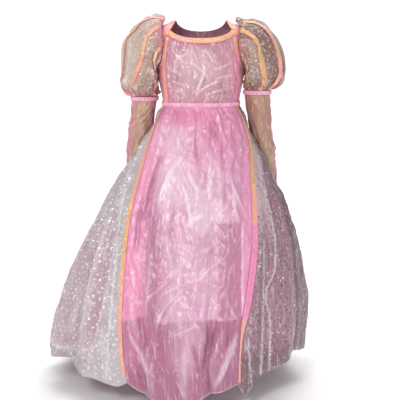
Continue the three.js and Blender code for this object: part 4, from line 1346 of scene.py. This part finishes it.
# Skirt
def panel_painted_shade(u, v, place):
    """Darker below the petticoat's hem, where it no longer shows pale through the organza, and in an upright
    strip; painted shade in a strip on the left, under a swag, in the troughs of the creases, in darker
    patches and towards the hem.
    """
    x, z = place[..., 0], place[..., 2]
    petticoat = -690 - 0.0009 * (x - 15) ** 2 + 24 * ease((np.abs(x + 10) - 70) / 60)
    below = ease((petticoat - z) / 9)
    light = 0.6 * lumps(x / 34 + 3, z / 90, 48) * ease((x + 75) / 40) * ease((30 - x) / 40)
    slant = bump((x - 40 + (z + 690) * -0.22) / 17) * ease((-640 - z) / 60)
    strip = 0.66 * ease((x - 38) / 4) * ease((97 - x) / 4) * ease((-474 - z) / 5) * ease((z + 700) / 20)
    swag = 0.3 * ease((-497 + 0.45 * x - z) / 9) * ease((z + 620) / 90) * bump((x - 5) / 75)
    left = 0.62 * bump((x + 116) / 15) * ease((-400 - z) / 90) * ease((z + 760) / 70)
    # Painted shade in the troughs of the relief and of the listed creases, and in darker patches
    troughs = 0.3 * ridges(front_panel_relief, u, v, place, -1.5, -6)
    troughs = troughs + 0.35 * clamp(-creased(x, z, FRONT_CREASES) / 4)
    troughs = troughs + 0.2 * ease((z + 330) / 60) * ease(x / 40)
    troughs = troughs + 0.12 * bump((x - 75) / 40) * bump((z + 400) / 90)
    troughs = troughs + 0.28 * bump((x + 98) / 26) * ease((-470 - z) / 60)
    low = below * (0.74 - light + 0.5 * slant + 0.2 * ease((x - 30) / 30)) + 0.4 * ease((-790 - z) / 60)
    return clamp(np.maximum.reduce([low, strip, left, swag]) + troughs)


def panel_blush(u, v, place):
    """Full pink in the gathers at the waist and along both edges, over the pink lining."""
    x, z = place[..., 0], place[..., 2]
    waist = (1 - ease((-225 - z) / 190)) * 0.8
    wide = 0.5 + 0.14 * lumps(z / 60, x / 60, 52)
    left = 0.85 * ease((-u - wide) / 0.22)
    right = 0.5 * ease((u - wide - 0.1) / 0.2)
    strip = 0.35 * ease((x - 38) / 4) * ease((-474 - z) / 5) * ease((z + 700) / 20)
    patch = 0.75 + 0.5 * lumps(x / 17, z / 60, 53)
    return clamp(np.maximum.reduce([waist, left, right, strip]) * patch)


# Painted highlights on the front panel: a lilac sheen lower down, bright patches, the ridges of the creases
# and a pale line at the strip's edge, less where the panel is darker
def panel_painted_light(u, v, place):
    x, z = place[..., 0], place[..., 2]
    lilac_and_sheen = ease((-290 - z) / 150) * (0.02 + 0.3 * lumps(x / 30, z / 70, 45))
    lilac_and_sheen = lilac_and_sheen * ease((0.7 - np.abs(u)) / 0.3) * ease((x + 105) / 40)
    bright = 0.32 * bump((x - 5) / 45) * bump((z + 455) / 45) * (0.4 + 0.6 * lumps(x / 20, z / 40, 46))
    bright = bright + 0.4 * bump((x + 66) / 48) * ease((-235 - z) / 40) * ease((z + 480) / 90)
    listed_crease_highlight = 0.24 * clamp(creased(x, z, FRONT_CREASES) / 3.2) ** 3
    folds = 0.16 + 0.22 * bump((x + 5) / 60) * bump((z + 420) / 110)
    folds = folds * ridges(front_panel_relief, u, v, place, 2.5, 8)
    edge = 0.5 * bump((x - 98) / 1.6) * ease((-474 - z) / 5) * ease((z + 690) / 10)
    shaded = 1 - 0.9 * panel_painted_shade(u, v, place)
    return np.clip((lilac_and_sheen + bright) * shaded + listed_crease_highlight + folds + edge, 0, 0.9)


piece = shell(
    "skirt_front_panel_cloth", front_panel_point, np.linspace(-1, 1, 150), np.linspace(0, 1, 250),
    FRONT_ORGANZA, "front_organza", paints={"painted_shade": panel_painted_shade, "painted_light": panel_painted_light, "blush": panel_blush},
)
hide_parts("skirt_front_panel")
path = front_panel_point(np.linspace(-1, 1, 160), np.ones(160)) + [0, -0.9, -0.4]
hem = rolled_hem("skirt_front_hem", path)

# Edges of the folds that hang in front, as x at each height, with the half of the skirt that they lie on
FOLD_LINES = {
    "left": (
        table("z x", (-411, -187), (-502, -201), (-618, -224), (-760, -255), (-849, -279)),
        table("z x", (-524, -201), (-661, -213), (-765, -222), (-850, -226)),
    ),
    "right": (
        table(
            "z x", (-404, 154), (-463, 168), (-538, 180), (-608, 174), (-640, 156), (-713, 165), (-850, 163)
        ),
        table("z x", (-524, 151), (-659, 148), (-764, 145), (-850, 143)),
        table("z x", (-746, 111), (-855, 119)),
    ),
}
LINING_LINE = table("x z", (-353, -801), (-300, -792), (-217, -753))


def glitter_paint(word, u, v, place):
    """Painted shade, painted highlights and the pink of the lining on half of the sheer skirt; the halves
    meet alike behind.
    """
    x, y, z = place[..., 0], place[..., 1], place[..., 2]
    ahead = ease((-y + 20) / 40)
    lines = 0
    # Painted highlight lines along the edges of the folds that hang in front
    for rows in FOLD_LINES[word]:
        top, bottom = rows["z"][0], rows["z"][-1]
        there = ease((top + 20 - z) / 40) * ease((z - bottom + 10) / 20) * ahead
        lines = np.maximum(lines, bump((x - at(rows, "z", z)["x"]) / 2.2) * there)
    folds = ridges(side_skirt_relief(word), u, v, place, 1, 7)
    patch = lumps(u * 26, v * 4, 49)
    first = at(FOLD_LINES[word][0], "z", z)["x"]
    if word == "left":
        # Left: a paler painted sheen inside the first fold, darker in random patches and below the lining's
        # hem, and a pale line along that hem
        inner = ease((x - first) / 10) * ahead
        lining = ease((z + 800) / 10) * (1 - inner)
        hem = bump((z - at(LINING_LINE, "x", x)["z"]) / 2.5) * ease((-205 - x) / 20) * ahead
        lines = np.maximum(lines, hem)
        painted_shade = 0.3 * patch * (1 - inner) + 0.35 * ease((-795 - z) / 15) * (1 - inner)
        blush = 0.6 * lining * ease((-420 - z) / 150) * (0.4 + 0.7 * patch)
        painted_light = 0.05 + 0.12 * inner * patch + 0.35 * folds
    else:
        # Right: painted shade all over, deepest at the outer edge and low down, lighter with a painted sheen
        # inside the first fold near the top
        inner = ease((first - x) / 6) * ahead
        edge = ease((x - at(SKIRT, "z", z)["right"] + 22) / 16)
        high = ease((z + 560) / 120)
        painted_shade = 0.42 + 0.35 * patch + 0.7 * edge - 0.5 * inner * high + 0.6 * ease((-760 - z) / 60)
        blush = (0.85 - 0.2 * inner * high) * ease((-240 - z) / 120) * (1 - 0.85 * edge)
        painted_light = (0.2 * inner * high + 0.22 * folds) * (1 - 0.9 * edge)
    # Behind: painted shade in random patches and painted highlights on the folds
    behind = ease((y - 10) / 110)
    rear = lumps(x / 60, z / 150, 64)
    painted_shade = mix(painted_shade, 0.25 + 0.3 * rear, behind)
    blush = mix(blush, 0.5 * ease((-300 - z) / 200) * ease((z + 800) / 20), behind)
    painted_light = np.maximum(mix(painted_light, 0.05 + 0.3 * folds, behind), 0.68 * lines)
    return clamp(painted_shade), clamp(painted_light), clamp(blush)


DOT_COLUMNS, DOT_ROWS, DOT_LIFT = 46, 48, CLOTH_LIFT + 0.45
PUFF_DOTS, PUFF_ROWS = 26, 20
FLAKES = {"left": 1100, "right": 50}
dot_spots = []
dot_rng = np.random.default_rng(12)
for word, side in SIDES.items():
    half = side_skirt_point(word)
    piece = shell(
        f"glitter_skirt_{word}_cloth", half, np.linspace(0, 1, 200), np.linspace(0, 1, 110),
        GLITTER_ORGANZA, "glitter_organza", side=side,
        paints={
            label: lambda u, v, place, word=word, k=k: glitter_paint(word, u, v, place)[k]
            for k, label in enumerate(("painted_shade", "painted_light", "blush"))
        },
    )
    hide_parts(f"glitter_skirt_side_{word}", f"glitter_skirt_back_{word}")
    hem = rolled_hem(
        f"glitter_hem_{word}", half(np.linspace(0.001, 0.999, 260), np.ones(260))
    )
    area = 0.43 if side < 0 else 0.385

    def edge_point(u, v, word=word):
        width = at(SKIRT_RIBBONS[word], "z", v)["width"]
        edge = lambda a, z: side_skirt_at(word, a, z)
        across = (0.4 + (u + 1) / 2 * width) / stretch_of(edge, np.full_like(v, 0.01, dtype=float), v)
        return edge(across, v)

    tone = banded_tone(
        [(-209, 0.6), (-480, 0.66), (-575, 0.85), (-610, 0.62), (-835, 0.6)]
        if side < 0
        else [(-209, 0.55), (-290, 0.75), (-300, 0.97), (-385, 0.95), (-400, 0.55), (-478, 0.45),
              (-488, 0.06), (-690, 0.04), (-705, 0.5), (-845, 0.6)]
    )
    bottom = SKIRT_RIBBONS[word]["z"][-1]
    width = lambda v, word=word: at(SKIRT_RIBBONS[word], "z", v)["width"]
    ribbon(f"skirt_ribbon_{word}", edge_point, -209.3, bottom, width, -side, tone, rows=160)

    for row in range(1, DOT_ROWS):
        v = row / DOT_ROWS
        every = 4 if v < 0.1 else 2 if v < 0.36 else 1
        u = (np.arange(0, DOT_COLUMNS, every) + 0.5 + 0.5 * every * (row % 2)) / DOT_COLUMNS
        level = np.full(len(u), mix(SKIRT_TOP, -850, v))
        across = stretch_of(lambda a, z: side_skirt_at(word, a, z), u, level)
        u = u[(u * across > 16) & (u < 0.985)]
        u = u + dot_rng.normal(0, 0.0025, len(u))
        v = np.full(len(u), v) + dot_rng.normal(0, 0.003, len(u))
        place, outward = half(u, v), normals(half, u, v, side)
        # Foil dots painted bright on the left half where they catch the light, dark on the shaded right half
        # with a rare bright glint, and in between towards the back
        light = dot_rng.random(len(u))
        bright = 0.7 + 0.6 * light if side < 0 else 0.1 * light + 0.9 * (light > 0.97)
        bright = mix(0.5 + 0.3 * light, bright, ease((0.45 - u) / 0.15))
        least, more = (3.6, 5) if side < 0 else (4.6, 1.2)
        sizes = least + more * dot_rng.random(len(u)) ** 2
        dot_spots.append((place + outward * DOT_LIFT, outward, clamp(bright), sizes))

    # Loose flakes between the dots, thickest in front on the left, all at the brightest tone as painted
    # glints
    count = FLAKES[word]
    u, v = dot_rng.random(count) ** 1.6 * 0.96 + 0.015, mix(0.12, 0.97, dot_rng.random(count) ** 0.8)
    place, outward = half(u, v), normals(half, u, v, side)
    sizes = 1.6 + 2.6 * dot_rng.random(count) ** 2
    dot_spots.append((place + outward * DOT_LIFT, outward, np.ones(count), sizes))

    puff = puff_surface(side)
    for row in range(2, PUFF_ROWS - 1):
        turn = full_turn(PUFF_DOTS, 0.5 * (row % 2) * 2 * math.pi / PUFF_DOTS)
        turn = turn + dot_rng.normal(0, 0.05, PUFF_DOTS)
        t = np.full(PUFF_DOTS, row / PUFF_ROWS) + dot_rng.normal(0, 0.01, PUFF_DOTS)
        place, outward = puff(turn, t), normals(puff, turn, t, -side)
        sizes = 2.4 + 3 * dot_rng.random(PUFF_DOTS) ** 2
        tones = clamp(0.5 + 0.7 * dot_rng.random(PUFF_DOTS))
        dot_spots.append((place + outward * -0.2, outward, tones, sizes))

lining = under_layer(LINING, LINING_HEM, 5, 9, 0.6, 60)
petticoat = under_layer(PETTICOAT, PETTICOAT_HEM, 3, 7, 1.4, 61)
for name, surface, material, slot_name, nodes, flat, area in (
    ("lining_cloth", lining, LINING_SATIN, "lining_satin", "skirt_lining", (1.55, 0.66), 0.8),
    ("petticoat_cloth", petticoat, PETTICOAT_NET, "petticoat_net", "petticoat", (1.25, 0.53), 0.51),
):
    around = full_turn(180, math.pi)
    piece = shell(name, surface, around, np.linspace(0, 1, 70), material, slot_name, closed=True)
    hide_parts(*(f"{nodes}_{gore}" for gore in ("front", "right", "back", "left")))

# Sequins on every ribbon and foil dots on the sheer cloth
sequin = small_disc("sequin", 6, 0, 0.12)
scatter("ribbon_sequins", sequin_spots, sequin, 0.28, 5, SEQUIN_FILM)
drop(sequin)
dot = small_disc("foil_dot", 8, 0.26, 0.03)
scatter("foil_dots", dot_spots, dot, 0.3, 6, STAMPED_FOIL)
drop(dot)


# Studio: plain pale floor, soft light, and the camera at the photograph's angle
def stage_material():
    made, tree = new_material("pale studio floor")
    place = add_node(tree, "ShaderNodeTexCoord").outputs["Object"]
    colour = mixed(tree, noise(tree, place, Scale=3.0)["Fac"], "#F4F3F2", "#F8F7F7")
    finish_material(tree, Base_Color=colour, Roughness=0.7)
    return made


FLOOR_Z = -0.912
bend = np.linspace(0.1, math.pi / 2, 14)
sweep = [(-6.0, 0.0), (3.0, 0.0)]
sweep += [(3 + 2 * math.sin(t), 2 - 2 * math.cos(t)) for t in bend] + [(5.0, 6.0)]
corners = [(x, y, FLOOR_Z + z) for y, z in sweep for x in (-7, 7)]
faces = [(2 * k, 2 * k + 1, 2 * k + 3, 2 * k + 2) for k in range(len(sweep) - 1)]
floor = new_object("floor", corners, faces)
floor.data.shade_smooth()
floor.data.materials.append(stage_material())

world = bpy.data.worlds.new("studio")
bpy.context.scene.world = world
world.use_nodes = True
sky = world.node_tree.nodes["Background"].inputs
sky["Color"].default_value = (0.97, 0.97, 0.98, 1)
sky["Strength"].default_value = 0.56


def area_light(name, place, aim, size, power, colour=(1, 1, 1)):
    data = bpy.data.lights.new(name, "AREA")
    data.shape = "RECTANGLE"
    data.size, data.size_y = size
    data.energy = power
    data.color = colour
    made = bpy.data.objects.new(name, data)
    made.location = place
    way = np.array(aim) - np.array(place)
    tip = math.acos(-way[2] / np.linalg.norm(way))
    made.rotation_euler = (tip, 0, math.atan2(way[0], -way[1]) + math.pi)
    bpy.context.collection.objects.link(made)


area_light("key", (-0.8, -2.3, 0.8), (0, 0, -0.4), (0.7, 0.7), 32, (1, 0.985, 0.97))
area_light("fill", (2.2, -1.6, 0.2), (0, 0, -0.45), (1.6, 1.6), 9)
area_light("rim", (0.6, 2.2, 1.2), (0, 0, -0.4), (1.6, 1.2), 14)
area_light("backdrop", (0, 1.2, 3.6), (0, 4.5, -0.2), (4, 2), 190)

camera_data = bpy.data.cameras.new("camera")
camera_data.lens = 85.5
camera_data.sensor_width = 36
camera = bpy.data.objects.new("camera", camera_data)
camera.location = (-0.0025, -2.4, -0.03)
camera.rotation_euler = (math.radians(80), 0, 0)
bpy.context.collection.objects.link(camera)
bpy.context.scene.camera = camera
bpy.context.scene.cycles.transparent_max_bounces = 24
bpy.context.scene.view_settings.view_transform = "Standard"
